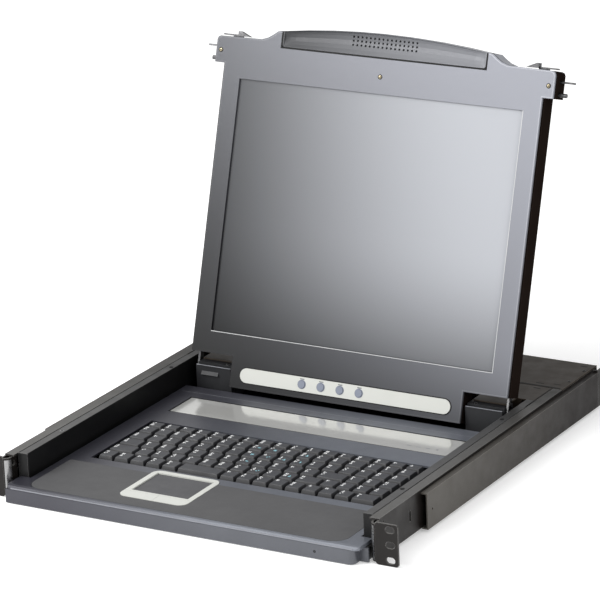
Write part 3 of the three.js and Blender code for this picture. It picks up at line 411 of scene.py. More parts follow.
# A painted shade, darker towards the left of the deck and the lip
LEFT_PAINTED_SHADE = (0.038, 0.038, 0.048)
# The painted shade of the lid's front plate: its sideways fade, its upward fade, and the lean of the sideways
# one
PLATE_PAINTED_SHADE = (-0.168, 0.51, 0.03), (-0.05, 0.11, 0.03), 0.75

MATERIALS = {
    # The front tones are painted light towards the front of the rack; on_top keeps it to the top faces
    "chassis": powder_coat("chassis_paint", (0.0066, 0.0054, 0.0048), (0.0092, 0.0076, 0.0068), 0.42, 0.24,
                           front=(0.090, 0.088, 0.084), on_top=True),
    "rail": powder_coat("rail_paint", (0.0060, 0.0040, 0.0032), (0.0080, 0.0055, 0.0045), 0.42, 0.16,
                        front=(0.070, 0.065, 0.058)),
    "cover": powder_coat("cover_paint", (0.0285, 0.0218, 0.0158), (0.0340, 0.0262, 0.0194), 0.5, 0.2),
    "dark": powder_coat("dark_paint", *STEEL_BLACK, 0.45, 0.2),
    "wall": powder_coat("wall_paint", *STEEL_BLACK, 0.38, 0.25, front=(0.070, 0.069, 0.068), on_top=True),
    "back": powder_coat("back_cover_paint", (0.0085, 0.0058, 0.0048), (0.0120, 0.0085, 0.0072), 0.7, 0.0),
    "deck": metallic_paint("deck_paint", (0.124, 0.133, 0.153), (0.136, 0.145, 0.166), 0.38, LEFT_PAINTED_SHADE),
    # The lip has the deck's paint made darker: painted shade on its front face
    "lip": metallic_paint("lip_paint_shaded", (0.076, 0.080, 0.091), (0.084, 0.088, 0.100), 0.38, LEFT_PAINTED_SHADE),
    # Pale paint for painted highlights: the housing edges, the deck's crease and the brow bead
    "highlight": metallic_paint("highlight_paint", (0.20, 0.205, 0.225), (0.22, 0.225, 0.245), 0.3),
    "bezel": bezel_surface("bezel_paint", (0.233, 0.240, 0.269), *PLATE_PAINTED_SHADE),
    # A paler copy of the plate's paint, for the painted highlight line round its edge
    "edge": bezel_surface("edge_highlight_paint", (0.36, 0.37, 0.40), *PLATE_PAINTED_SHADE),
    # The handle's own painted shade: sideways and upward fades, with no lean
    "handle": bezel_surface("handle_paint", (0.160, 0.164, 0.178), (-0.19, 0.15, 0.12), (-0.02, 0.36, 0.34),
                            0.0),
    "inlay": moulded("inlay_grain", (0.064, 0.064, 0.066), (0.072, 0.072, 0.074), 0.62, 2600, 0.00006),
    "silver": moulded("silver_paint", (0.515, 0.522, 0.490), (0.535, 0.542, 0.508), 0.35, 4000, 0.000008),
    "pad": moulded("pad_film", (0.060, 0.060, 0.064), (0.070, 0.070, 0.074), 0.5, 3600, 0.00002),
    # The key caps' paler tops are painted light; their sides keep the darker tone
    "key": moulded("key_grain", (0.012, 0.012, 0.014), (0.016, 0.016, 0.018), 0.48, 2600, 0.00003,
                   top=(0.046, 0.047, 0.052)),
    "housing": moulded("housing_grain", (0.012, 0.0125, 0.014), (0.018, 0.0185, 0.021), 0.55),
    "button": moulded("button_grain", (0.17, 0.19, 0.24), (0.20, 0.22, 0.275), 0.4, 3000, 0.00001),
    "socket": moulded("socket_blue", (0.008, 0.02, 0.09), (0.014, 0.034, 0.13), 0.4),
    "lens": moulded("lens_grey", (0.006, 0.007, 0.008), (0.010, 0.012, 0.014), 0.15, 400, 0.000002),
    "ink": moulded("ink_white", (0.78, 0.79, 0.79), (0.86, 0.86, 0.85), 0.6, 2000, 0.000005),
    "ink_blue": moulded("ink_blue", (0.24, 0.55, 0.64), (0.34, 0.66, 0.74), 0.6, 2000, 0.000005),
    "ink_grey": moulded("ink_grey", (0.10, 0.11, 0.12), (0.14, 0.15, 0.16), 0.6, 2000, 0.000005),
    # Pale film for blank plates and tongues, and for the painted highlight round the display opening
    "label_and_highlight": moulded("label_film_and_highlight", (0.42, 0.43, 0.43), (0.5, 0.5, 0.5), 0.4, 1200, 0.00001),
    # Black for holes and recesses, and for the painted shadows in seams, grooves and joints
    "hole_and_shadow": moulded("hole_and_shadow_black", (0.002, 0.002, 0.002), (0.004, 0.004, 0.004), 0.8),
    "steel": plated_steel("plated_steel", (0.26, 0.26, 0.26), (0.36, 0.36, 0.36), 0.28),
    "catch": plated_steel("catch_steel_and_arm_shade", (0.075, 0.075, 0.078), (0.11, 0.11, 0.112), 0.42),
    "brass": plated_steel("passivated_steel", (0.24, 0.20, 0.13), (0.32, 0.28, 0.19), 0.35),
    "gold": plated_steel("contact_gold", (0.6, 0.42, 0.12), (0.75, 0.55, 0.2), 0.25),
    "slide": plated_steel("slide_steel", (0.4, 0.4, 0.41), (0.58, 0.58, 0.6), 0.3, stretch=(1, 0.05, 1)),
    "display": display_surface(),
    "window": window_surface(),
    "board": board_surface(),
}

# The carried-over CAD nodes of each finish, with the radius of their softened edges in millimetres
NODE_FINISHES = {
    "chassis": (0.5, (
        "chassis_left_plate", "chassis_right_plate", "rear_bracket_left", "rear_bracket_right", "chassis_pan",
        "rear_panel",
    )),
    "rail": (0.7, ("rail_cover_left", "rail_cover_right")),
    "cover": (0.4, ("chassis_top_cover", "drawer_rear_cover")),
    "slide": (0.2, tuple(
        f"slide_{member}_{side}" for member in ("outer", "middle", "inner") for side, _ in SIDES
    )),
    "steel": (0.25, ("power_supply", "earth_screw", "hinge_arm_right")),
    # hinge_arm_left takes this darker steel as painted shade; the right arm keeps the bright plate
    "catch": (0.25, ("release_catch_left", "release_catch_right", "hinge_arm_left")),
    "socket": (0.2, ("computer_port_bank", "console_video_port", "console_usb_port")),
    "wall": (0.5, ("drawer_left_wall", "drawer_right_wall")),
    "dark": (0.5, ("drawer_pan", "keyboard_base")),
    "back": (0.8, ("lid_back_cover",)),
    "housing": (0.4, ("power_inlet", "power_rocker", "hinge_housing_left", "hinge_housing_right")),
    "board": (0.05, ("switch_board", "lid_control_board")),
    "deck": (1.1, ("keyboard_deck",)),
    "lip": (1.1, ("drawer_lip",)),
    "lens": (0.1, ("power_light",)),
    "inlay": (0.25, ("palm_inlay",)),
    "silver": (0.4, ("touchpad_frame", "touchpad_left_button", "touchpad_right_button", "control_strip")),
    "pad": (0.3, ("touchpad_surface",)),
    "window": (0.2, ("status_window",)),
    "bezel": (0.6, ("lid_bezel",)),
    "handle": (0.6, ("pull_handle",)),
    "display": (0.1, ("lcd_panel",)),
    "button": (0.5, tuple(f"control_button_{number}" for number in range(1, 5))),
}


# ------------------------------------------------------------------ drawing pieces

BASE = Matrix.Translation((0, DATUM_Y, 0)) @ Matrix.Scale(MM, 4)
LID = LID_MATRIX @ Matrix.Scale(MM, 4)
TAU = 2 * math.pi


def drawn_box(node, axes):
    """A node's lowest and highest corners in millimetres, in the base's or the lid's drawing axes."""
    back = axes.inverted()
    points = [back @ vertex.co for vertex in NODES[node].data.vertices]
    return tuple(Vector([pick(point[i] for point in points) for i in range(3)]) for pick in (min, max))


def rectangle(x0, x1, y0, y1, z):
    return [(x0, y0, z), (x1, y0, z), (x1, y1, z), (x0, y1, z)]


def circle(axis, radius, along, a, b, sides):
    """Ring of points round an axis. a and b are the centre's other two coordinates, in order."""
    points = []
    for i in range(sides):
        u, v = a + radius * math.cos(TAU * i / sides), b + radius * math.sin(TAU * i / sides)
        points.append({"x": (along, u, v), "y": (u, along, v), "z": (u, v, along)}[axis])
    return points


def stadium(half_length, half_height, middle, z):
    """Outline with round ends, about x = 0."""
    straight = half_length - half_height
    steps = 10
    points = []
    for side in (1, -1):
        for i in range(steps + 1):
            angle = -math.pi / 2 + math.pi * i / steps
            points.append((
                side * (straight + half_height * math.cos(angle)),
                middle + side * half_height * math.sin(angle), z,
            ))
    return points


class Solids:
    """Simple solids collected into one piece, drawn in millimetres in the base's or the lid's axes."""

    def __init__(self, axes):
        self.axes = axes
        self.mesh = bmesh.new()

    def rings(self, *rings):
        """A closed solid through rings that have as many points each."""
        loops = [[self.mesh.verts.new(point) for point in ring] for ring in rings]
        count = len(loops[0])
        for lower, upper in zip(loops, loops[1:]):
            for i in range(count):
                j = (i + 1) % count
                self.mesh.faces.new((lower[i], lower[j], upper[j], upper[i]))
        self.mesh.faces.new(list(reversed(loops[0])))
        self.mesh.faces.new(loops[-1])
        return self

    def block(self, x0, x1, y0, y1, z0, z1):
        return self.rings(rectangle(x0, x1, y0, y1, z0), rectangle(x0, x1, y0, y1, z1))

    def mark(self, x0, x1, y0, y1, surface, sunk=0.1, proud=0.05):
        """A thin flat block set into a surface that faces up its drawing axes."""
        return self.block(x0, x1, y0, y1, surface - sunk, surface + proud)

    def rod(self, axis, radius, start, end, a, b, sides=20):
        return self.rings(circle(axis, radius, start, a, b, sides), circle(axis, radius, end, a, b, sides))

    def band(self, outer, inner, z0, z1):
        """A flat closed band between two outlines that have as many points each."""
        loops = [
            [self.mesh.verts.new((x, y, z)) for x, y, _ in ring]
            for ring, z in ((outer, z0), (outer, z1), (inner, z1), (inner, z0))
        ]
        count = len(outer)
        for k in range(4):
            lower, upper = loops[k], loops[(k + 1) % 4]
            for i in range(count):
                j = (i + 1) % count
                self.mesh.faces.new((lower[i], lower[j], upper[j], upper[i]))
        return self

    def done(self, name, body, finish, edge=0.0, stands_for=()):
        """Makes the piece; edge is the radius of its softened edges in millimetres."""
        bmesh.ops.recalc_face_normals(self.mesh, faces=self.mesh.faces)
        self.mesh.transform(self.axes)
        for face in self.mesh.faces:
            face.smooth = True
        for line in self.mesh.edges:
            line.smooth = line.calc_face_angle(0) < SHARP_ANGLE
        data = bpy.data.meshes.new(name)
        self.mesh.to_mesh(data)
        self.mesh.free()
        data.materials.append(MATERIALS[finish])
        piece = bpy.data.objects.new(name, data)
        bpy.context.scene.collection.objects.link(piece)
        if edge:
            soften(piece, edge)
        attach(piece, body)
        if stands_for:
            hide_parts(*stands_for)


SHARP_ANGLE = math.radians(35)                       # between a drawn piece's faces, where shading breaks
BEVEL_ANGLE = math.radians(40)                       # and where a bevel is cut


def soften(piece, radius):
    """Rounds a piece's sharp edges; radius in millimetres."""
    bevel = piece.modifiers.new("soft_edges", "BEVEL")
    bevel.width = radius * MM
    bevel.segments = 2
    bevel.limit_method = "ANGLE"
    bevel.angle_limit = BEVEL_ANGLE
    bevel.harden_normals = True
    bevel.use_clamp_overlap = True


# ------------------------------------------------------------------ keyboard

KEY_PITCH = 19.05
KEY_GAP = 1.6
# Cap widths of each row in key pitches, front row first
KEY_ROWS = (
    (1, 1, 1, 1, 1, 2.65, 1, 1, 1, 1, 1, 1, 1, 1, 1.5),
    (1.65, 1, 1, 1, 1, 1, 1, 1, 1, 1, 1, 1.5, 1, 1, 1, 1),
    (1.4, 1, 1, 1, 1, 1, 1, 1, 1, 1, 1, 1, 1.75, 1, 1, 1),
    (1.15, 1, 1, 1, 1, 1, 1, 1, 1, 1, 1, 1, 1, 1, 1, 1, 1),
    (1, 1, 1, 1, 1, 1, 1, 1, 1, 1, 1, 1, 1, 1.15, 1, 1, 1),
    (1, 1, 1, 1, 1, 1, 1, 1, 1, 1, 1, 1, 1, 1.15, 1, 1, 1),
)
SPACE_BAR_INDEX = 5                                  # in the front row
CAP_EDGE = 0.35
CAP_LIFT = 0.9                                       # a cap's foot over the bottom of its node
# How far a cap's flat top is drawn in from its foot, and its shoulder out and down from the flat top
SIDE_SLOPE, FRONT_SLOPE, REAR_SLOPE = 1.8, 2.3, 1.2
SHOULDER_OUT, SHOULDER_DROP = 0.55, 0.9
# Legends are plain strokes: left, bottom, width and height of each
LEGENDS = (
    ((0, 0, 1.0, 3.2), (1.9, 0, 1.0, 3.2)), ((0, 0, 3.2, 1.0), (0, 2.0, 3.2, 1.0)),
    ((0, 0, 1.0, 3.4), (1.8, 1.2, 1.2, 1.2)), ((0, 0, 3.0, 1.0), (1.0, 1.8, 1.0, 1.6)),
    ((0, 0, 1.3, 1.3), (1.8, 1.8, 1.3, 1.3)), ((0, 1.0, 3.2, 1.1),), ((0.9, 0, 1.1, 3.4),),
)
LEGEND_IN, LEGEND_DOWN = 1.2, 4.2                    # first legend from the flat top's left and rear edges
SECOND_DOWN, BLUE_RIGHT = 4.6, 5.6                   # the others from the first
SECOND_SHARE, BLUE_SHARE = 0.8, 0.6                  # how many caps have them
BLUE_ROWS, BLUE_KEYS = range(1, 5), range(7, 11)


def add_cap(solids, x0, x1, y0, y1, bottom, top):
    """One key cap: sloping sides, steeper at the back, and a shoulder under the flat top."""
    solids.rings(
        rectangle(x0, x1, y0, y1, bottom),
        rectangle(x0 + SIDE_SLOPE - SHOULDER_OUT, x1 - SIDE_SLOPE + SHOULDER_OUT,
                  y0 + FRONT_SLOPE - SHOULDER_OUT, y1 - REAR_SLOPE + SHOULDER_OUT, top - SHOULDER_DROP),
        rectangle(x0 + SIDE_SLOPE, x1 - SIDE_SLOPE, y0 + FRONT_SLOPE, y1 - REAR_SLOPE, top),
    )


def add_legend(solids, strokes, x, y, top):
    for left, bottom, width, height in strokes:
        solids.mark(x + left, x + left + width, y + bottom, y + bottom + height, top, 0.05, 0.06)


def add_key_row(row, rng):
    """The caps of one row, which ride on its body, with their printed legends."""
    node = f"key_row_{row + 1}"
    low, high = drawn_box(node, BASE)
    caps, white, blue = Solids(BASE), Solids(BASE), Solids(BASE)
    x = low.x - KEY_GAP / 2
    blue_count = 0
    for i, width in enumerate(KEY_ROWS[row]):
        x0, x1 = x + KEY_GAP / 2, x + width * KEY_PITCH - KEY_GAP / 2
        x += width * KEY_PITCH
        if row == 0 and i == SPACE_BAR_INDEX:
            continue
        add_cap(caps, x0, x1, low.y, high.y, low.z + CAP_LIFT, high.z)
        left, rear = x0 + SIDE_SLOPE + LEGEND_IN, high.y - REAR_SLOPE - LEGEND_DOWN
        add_legend(white, rng.choice(LEGENDS), left, rear, high.z)
        if rng.random() < SECOND_SHARE:
            add_legend(white, rng.choice(LEGENDS), left, rear - SECOND_DOWN, high.z)
        if row in BLUE_ROWS and i in BLUE_KEYS and rng.random() < BLUE_SHARE:
            add_legend(blue, rng.choice(LEGENDS), left + BLUE_RIGHT, rear - SECOND_DOWN, high.z)
            blue_count += 1
    caps.done(f"key_caps_row_{row + 1}", node, "key", CAP_EDGE, (node,))
    white.done(f"key_legends_row_{row + 1}", node, "ink")
    if blue_count:
        blue.done(f"key_second_legends_row_{row + 1}", node, "ink_blue")


def add_keyboard():
    rng = random.Random(19)
    for row in range(len(KEY_ROWS)):
        add_key_row(row, rng)
    low, high = drawn_box("space_bar", BASE)
    bar = Solids(BASE)
    add_cap(bar, low.x, high.x, low.y, high.y, low.z + CAP_LIFT, high.z)
    bar.done("space_bar_cap", "space_bar", "key", CAP_EDGE, ("space_bar",))


# ------------------------------------------------------------------ screws and plates

ROUND = 20                                           # sides of a screw head
CROSS_ARM, CROSS_HALF = 0.55, 0.13                   # of its recess, over the head's radius


def add_screw(name, body, axes, x, y, z, radius, finish="steel", depth=0.5):
    """A low screw head with a dark cross recess, facing up its drawing axes."""
    head = Solids(axes).rings(
        circle("z", radius, z - 0.2, x, y, ROUND), circle("z", radius, z + depth * 0.6, x, y, ROUND),
        circle("z", radius * 0.8, z + depth, x, y, ROUND),
    )
    head.done(name, body, finish)
    arm, half = radius * CROSS_ARM, radius * CROSS_HALF
    cross = Solids(axes).mark(x - arm, x + arm, y - half, y + half, z + depth, 0.1, 0.03)
    cross.mark(x - half, x + half, y - arm, y + arm, z + depth, 0.12, 0.04)
    cross.done(f"{name}_recess", body, "hole_and_shadow")


def add_reverse_side(body, axes, surface, names, layout):
    """Screws and a blank plate on a face that looks down its drawing axes."""
    screws_name, plate_name = names
    screws = Solids(axes)
    for x in layout["screw_xs"]:
        for y in layout["screw_ys"]:
            screws.rings(
                circle("z", layout["head"], surface - layout["proud"], x, y, ROUND),
                circle("z", layout["seat"], surface + layout["sunk"], x, y, ROUND),
            )
    screws.done(screws_name, body, "steel")
    Solids(axes).block(*layout["plate"], surface - 0.25, surface + 0.1).done(plate_name, body, "label_and_highlight", 0.1)


# ------------------------------------------------------------------ small parts on the drawer

# X is from the middle plane and is used on both sides
FLANGE = {
    # The seam spans, in X and Y, are of a painted shadow along the gap between the flanges
    "screw_x": 200, "screw_ys": (85.8, 300), "screw": 2.4, "shadow_x": (205.5, 206.4), "shadow_y": (16, 362),
}
# The housing's edge, in Y and Z, is a painted highlight along its top front edge
HOUSING = {"screw_x": 150.5, "screw_y": 336.4, "screw": 2.4, "edge": (327.7, 329.3, 40.6, 41.1), "inset": 0.2}
# A bright steel strip painting the highlight round the inner front edge of each side plate, an arc in plan
# with its angles in degrees
FOLD_SHEEN = {
    "x": 216.7, "y": 7, "outer": 7.15, "inner": 7.0, "first": 6, "step": 5.5, "points": 13, "z": (4, 39.5),
}
# The window's border width is of a painted shadow
WINDOW = {"edge_shadow": 1.3, "mark_xs": (116, 127, 138), "mark_half": 2.6, "mark_y": (252.4, 253.4)}
WINDOW_DOT = {"radius": 1.1, "x": 149, "y": 252.9}
# The crease is a low ridge in pale paint, a painted highlight
CREASE_HIGHLIGHT = {"half_x": 188, "half_y": 0.35, "share": 0.45, "proud": 0.45}
HIGHLIGHT_BEAD_XS = (-199, 0, 198)
# The section of the bead that paints the brow's highlight, in Y and Z, from the lip's top front edge
HIGHLIGHT_BEAD_SECTION = ((0.9, 0.9), (-0.15, 0.75), (-0.1, 1.35), (0.9, 1.9))


def fold_sheen_outline(side):
    angles = [math.radians(FOLD_SHEEN["first"] + FOLD_SHEEN["step"] * i) for i in range(FOLD_SHEEN["points"])]
    ring = [(FOLD_SHEEN["outer"], angle) for angle in angles]
    ring += [(FOLD_SHEEN["inner"], angle) for angle in reversed(angles)]
    return [
        (side * (FOLD_SHEEN["x"] - radius * math.cos(angle)), FOLD_SHEEN["y"] - radius * math.sin(angle))
        for radius, angle in ring
    ]


def add_drawer_sides():
    """Flange screws and seams, the hinge housings' screws and edges, and the side plates' bright strips; the
    seams are painted shadow, the edges and strips painted highlight.
    """
    flange_top = drawn_box("drawer_left_wall", BASE)[1].z
    for side_name, side in SIDES:
        for i, y in enumerate(FLANGE["screw_ys"]):
            finish = "steel" if (side_name, i) == ("left", 0) else "dark"
            add_screw(f"flange_screw_{side_name}_{i + 1}", "drawer", BASE,
                      side * FLANGE["screw_x"], y, flange_top, FLANGE["screw"], finish)
        # A black strip on the wall flange beside its seam: painted shadow in the gap
        near, far = FLANGE["shadow_x"]
        seam_shadow = Solids(BASE).mark(side * near, side * far, *FLANGE["shadow_y"], flange_top, 0.3)
        seam_shadow.done(f"flange_seam_shadow_{side_name}", "drawer", "hole_and_shadow")
        low, high = drawn_box(f"hinge_housing_{side_name}", BASE)
        add_screw(f"housing_screw_{side_name}", "drawer", BASE,
                  side * HOUSING["screw_x"], HOUSING["screw_y"], high.z, HOUSING["screw"])
        # A pale strip along the housing's top front edge: painted highlight
        edge = Solids(BASE).block(low.x + HOUSING["inset"], high.x - HOUSING["inset"], *HOUSING["edge"])
        edge.done(f"housing_edge_highlight_{side_name}", "drawer", "highlight", 0.2)
        # A bright steel strip on the fold: a painted highlight
        outline = fold_sheen_outline(side)
        sheen_strip = Solids(BASE).rings(*([(x, y, z) for x, y in outline] for z in FOLD_SHEEN["z"]))
        sheen_strip.done(f"striker_sheen_strip_{side_name}", "chassis", "steel")


def add_deck_details():
    """The status window's border and marks, the crease behind it, and the bead along the front lip; the
    border is painted shadow, the crease and the bead painted highlights.
    """
    low, high = drawn_box("status_window", BASE)
    # A black band round the window: painted shadow at its edge
    inset = WINDOW["edge_shadow"]
    edge_shadow = Solids(BASE).band(
        rectangle(low.x, high.x, low.y, high.y, 0),
        rectangle(low.x + inset, high.x - inset, low.y + inset, high.y - inset, 0),
        high.z - 0.2, high.z + 0.12,
    )
    edge_shadow.done("status_window_edge_shadow", "drawer", "hole_and_shadow")
    deck_rear = drawn_box("keyboard_deck", BASE)[1].y
    crease = high.y + CREASE_HIGHLIGHT["share"] * (deck_rear - high.y)
    # A low pale ridge: the crease with its painted highlight
    line = Solids(BASE).mark(-CREASE_HIGHLIGHT["half_x"], CREASE_HIGHLIGHT["half_x"], crease - CREASE_HIGHLIGHT["half_y"],
                             crease + CREASE_HIGHLIGHT["half_y"], high.z, 0.1, CREASE_HIGHLIGHT["proud"])
    line.done("deck_crease_highlight", "drawer", "highlight", 0.15)
    marks = Solids(BASE)
    for x in WINDOW["mark_xs"]:
        marks.mark(x - WINDOW["mark_half"], x + WINDOW["mark_half"], *WINDOW["mark_y"], high.z, 0.05)
    marks.rod("z", WINDOW_DOT["radius"], high.z - 0.05, high.z + 0.06, WINDOW_DOT["x"], WINDOW_DOT["y"])
    marks.done("status_window_marks", "drawer", "ink_grey")
    lip_low, lip_high = drawn_box("drawer_lip", BASE)
    # A pale bead along the brow: painted highlight
    highlight_bead = Solids(BASE).rings(*(
        [(x, lip_low.y + y, lip_high.z + z) for y, z in HIGHLIGHT_BEAD_SECTION] for x in HIGHLIGHT_BEAD_XS
    ))
    highlight_bead.done("brow_highlight_bead", "drawer", "highlight")


# ------------------------------------------------------------------ covers behind the lid

COVER_SLOTS = ((205.3, 416.6, 4, 0.9), (206.5, 478.6, 4, 0.9), (186.8, 413.6, 4.5, 1))    # X, Y, half sizes
DRAWER_SLOT = {"x": 190.8, "half_x": 4, "y": (397.6, 399.4)}
COVER_SCREWS = {"x": 213, "ys": (430, 466), "radius": 2.2}
# Black strips at the covers' joint and along the rear cover's side edges: painted shadow
COVER_JOINT_SHADOW = {"half_x": 214, "y": (0.1, 3)}
COVER_EDGE_SHADOW = 1.6


def add_cover_details():
    """The joint between the two covers, their dark edges and slots, and the top cover's screws; the dark
    joint and edges are painted shadow.
    """
    top_low, top_high = drawn_box("chassis_top_cover", BASE)
    top = top_high.z
    near, far = (top_low.y + distance for distance in COVER_JOINT_SHADOW["y"])
    seam_shadow = Solids(BASE).mark(-COVER_JOINT_SHADOW["half_x"], COVER_JOINT_SHADOW["half_x"], near, far, top)
    seam_shadow.done("top_cover_joint_shadow", "chassis", "hole_and_shadow")
    low, high = drawn_box("drawer_rear_cover", BASE)
    edges = Solids(BASE)
    for x in (low.x + 0.1, high.x - 0.1 - COVER_EDGE_SHADOW):
        edges.mark(x, x + COVER_EDGE_SHADOW, low.y + 2, high.y - 1, high.z)
    edges.done("rear_cover_edge_shadows", "drawer", "hole_and_shadow")
    for side_name, side in SIDES:
        slots = Solids(BASE)
        for x, y, half_x, half_y in COVER_SLOTS:
            slots.mark(side * x - half_x, side * x + half_x, y - half_y, y + half_y, top)
        slots.done(f"top_cover_slots_{side_name}", "chassis", "hole_and_shadow")
        middle = side * DRAWER_SLOT["x"]
        slot = Solids(BASE).mark(
            middle - DRAWER_SLOT["half_x"], middle + DRAWER_SLOT["half_x"], *DRAWER_SLOT["y"], top,
        )
        slot.done(f"rear_cover_slot_{side_name}", "drawer", "hole_and_shadow")
        for i, y in enumerate(COVER_SCREWS["ys"]):
            add_screw(f"top_cover_screw_{side_name}_{i + 1}", "chassis", BASE,
                      side * COVER_SCREWS["x"], y, top, COVER_SCREWS["radius"], "chassis")


# ------------------------------------------------------------------ rear panel

PANEL_REAR = 487
PORT_XS = tuple(-178 + 34 * i for i in range(8))     # the computer ports
VIDEO_X = 92
PORT_Z = 24
CONTACTS = {"radius": 0.42, "y": (488.2, 491.4), "pitch": 2.3, "row_pitch": 1.9, "in_row": 5, "stagger": 0.6}
# The jack posts on both sides of a port: radius, start and end behind the panel, and number of sides
JACK_POST_X = 12.3
JACK_POST_RODS = ((2.5, 0, 3.2, 6), (1.4, 3, 4.4, 12))
# The two sockets, one over the other; the Z spans of the tongue and the rims are from each one's middle
USB = {"x": 122, "zs": (PORT_Z - 4, PORT_Z + 4)}
TONGUE = {"half_x": 5.2, "y": (487.6, 491.0), "z": (0.4, 1.9)}
USB_RIM = {"half_x": 7, "y": (491.6, 492.4), "z": (3.0, 3.8)}
RATING_PLATE = (20, 64, PANEL_REAR - 0.1, PANEL_REAR + 0.25, 34.6, 40.6)


def add_rear_details():
    """Port contacts, jack posts, USB tongues and rims, and a blank rating plate."""
    contacts, posts = Solids(BASE), Solids(BASE)
    for x in (*PORT_XS, VIDEO_X):
        for row in (-1, 0, 1):
            shift = CONTACTS["stagger"] if row else -CONTACTS["stagger"]
            for i in range(CONTACTS["in_row"]):
                step = i - (CONTACTS["in_row"] - 1) / 2
                contacts.rod("y", CONTACTS["radius"], *CONTACTS["y"], x + step * CONTACTS["pitch"] + shift,
                             PORT_Z + row * CONTACTS["row_pitch"], 8)
        for side in (-1, 1):
            post_x = x + side * JACK_POST_X
            for radius, start, end, sides in JACK_POST_RODS:
                posts.rod("y", radius, PANEL_REAR + start, PANEL_REAR + end, post_x, PORT_Z, sides)
    contacts.done("port_contacts", "chassis", "gold")
    posts.done("port_jack_posts", "chassis", "steel", 0.15)
    tongues, rims = Solids(BASE), Solids(BASE)
    for z in USB["zs"]:
        low, high = (z + height for height in TONGUE["z"])
        tongues.block(USB["x"] - TONGUE["half_x"], USB["x"] + TONGUE["half_x"], *TONGUE["y"], low, high)
    tongues.done("usb_tongues", "chassis", "label_and_highlight", 0.1)
    for z in USB["zs"]:
        low, high = USB_RIM["z"]
        for z0, z1 in ((z + low, z + high), (z - high, z - low)):
            rims.block(USB["x"] - USB_RIM["half_x"], USB["x"] + USB_RIM["half_x"], *USB_RIM["y"], z0, z1)
    rims.done("usb_rims", "chassis", "steel", 0.1)
    Solids(BASE).block(*RATING_PLATE).done("rating_plate_blank", "chassis", "label_and_highlight", 0.1)


# ------------------------------------------------------------------ lid

# Right half of the lid's front plate: the slope beside the handle, then down to the middle of its foot
SHOULDER = ((124, 366.4), (129, 365.4), (134, 361.7), (140.5, 357.7), (148.2, 355.3))
LID_HALF = SHOULDER + (
    (199, 354.7), (201.8, 353.5), (203, 350.7),
    (203, 326), (191, 326), (191, 13.7), (140, 13.7), (140, -19.8),
)
TOP_CORNERS = 8                                      # of these; drawn in, they move down and the others up
# The bright edge line is a painted highlight along the lid's outline
EDGE_HIGHLIGHT_LINE = (0.9, 1.5)                               # from the outline, outer and inner
FOLD = (0.6, 0.1)                                    # over the shoulder, outer and inner
# The display's opening in that plate, and the painted highlight along its lower and right rims, from the
# opening's edge
OPENING = {"half": 170.3, "bottom": 38, "top": 310.8, "rim": (0.2, 0.9)}
BEZEL_SCREWS = ((-197.2, 339.5), (0, 328.9), (196.7, 338.8))
BEZEL_SCREW = {"well": 2.7, "head": 1.8, "depth": 0.35}
# The painted shadow in the handle's groove: gap, width and height
HANDLE_GROOVE_SHADOW = {"gap": 0.1, "width": 1.8, "height": 16.2}
DIMPLES = {
    "rows": 3, "columns": 16, "pitch": 5.07, "row_pitch": 4.3, "top": 368.3, "radius": 1.15,
    "z": (-4.5, -4.25),
}
# The painted shadow round the control strip
STRIP_GROOVE_SHADOW = (1.1, -0.2)                           # from the strip's edge, outer and inner
STRIP_MARK = {"half_x": 2.6, "y": (5.2, 6.2)}        # from the middle of its button
COLLAR = {"outer": 5.0, "inner": 4.15, "sides": 24}
VENTS = {"rows": (64, 300), "columns": 24, "pitch": 9, "half_x": 1.4, "half_y": 9}
LID_BACK = {
    "screw_xs": (-178, 0, 178), "screw_ys": (28, 182, 336), "head": 2.4, "seat": 3.0,
    "proud": 0.7, "sunk": 0.3, "plate": (60, 132, 110, 150),
}
PAN_UNDERSIDE = {
    "screw_xs": (-180, 0, 180), "screw_ys": (12, 200, 390), "head": 2.6, "seat": 3.2,
    "proud": 0.6, "sunk": 0.2, "plate": (-60, 20, 90, 130),
}


def lid_outline(inset):
    """The lid's outline from the handle round by the foot to the handle's other end, drawn in by inset."""
    half = [
        (x - inset, y - inset if i < TOP_CORNERS else y + inset) for i, (x, y) in enumerate(LID_HALF)
    ]
    return half + [(-x, y) for x, y in reversed(half)]


def add_bezel_details(face):
    """Screws in wells, the opening's rims and the bright edge line, both painted highlights, and the folds of
    the shoulders.
    """
    for i, (x, y) in enumerate(BEZEL_SCREWS):
        well = Solids(LID).rod("z", BEZEL_SCREW["well"], face - 0.3, face + 0.06, x, y)
        well.done(f"bezel_screw_well_{i + 1}", "lid", "hole_and_shadow")
        add_screw(f"bezel_screw_{i + 1}", "lid", LID, x, y, face + 0.05,
                  BEZEL_SCREW["head"], "brass", BEZEL_SCREW["depth"])
    half, foot = OPENING["half"], OPENING["bottom"]
    near, far = OPENING["rim"]
    # Pale strips along the opening's lower and right edges: painted highlight
    rims = Solids(LID).mark(-half, half + far, foot - far, foot - near, face)
    rims.mark(half + near, half + far, foot - near, OPENING["top"], face)
    rims.done("display_opening_highlights", "lid", "label_and_highlight")
    # A pale band along the plate's outline: painted highlight
    line = Solids(LID).rings(*(
        [(*outer, face - 0.1), (*outer, face + 0.04), (*inner, face + 0.04), (*inner, face - 0.1)]
        for outer, inner in zip(*map(lid_outline, EDGE_HIGHLIGHT_LINE))
    ))
    line.done("bezel_edge_highlight", "lid", "edge")
    back_low, back_high = drawn_box("lid_back_cover", LID)
    over, under = FOLD
    for side_name, side in SIDES:
        slope = [(side * x, y + over) for x, y in SHOULDER[1:]]
        slope += [(side * x, y + under) for x, y in SHOULDER[:0:-1]]
        fold = Solids(LID).rings(*([(x, y, z) for x, y in slope] for z in (back_low.z, back_high.z)))
        fold.done(f"bezel_shoulder_fold_{side_name}", "lid", "bezel")


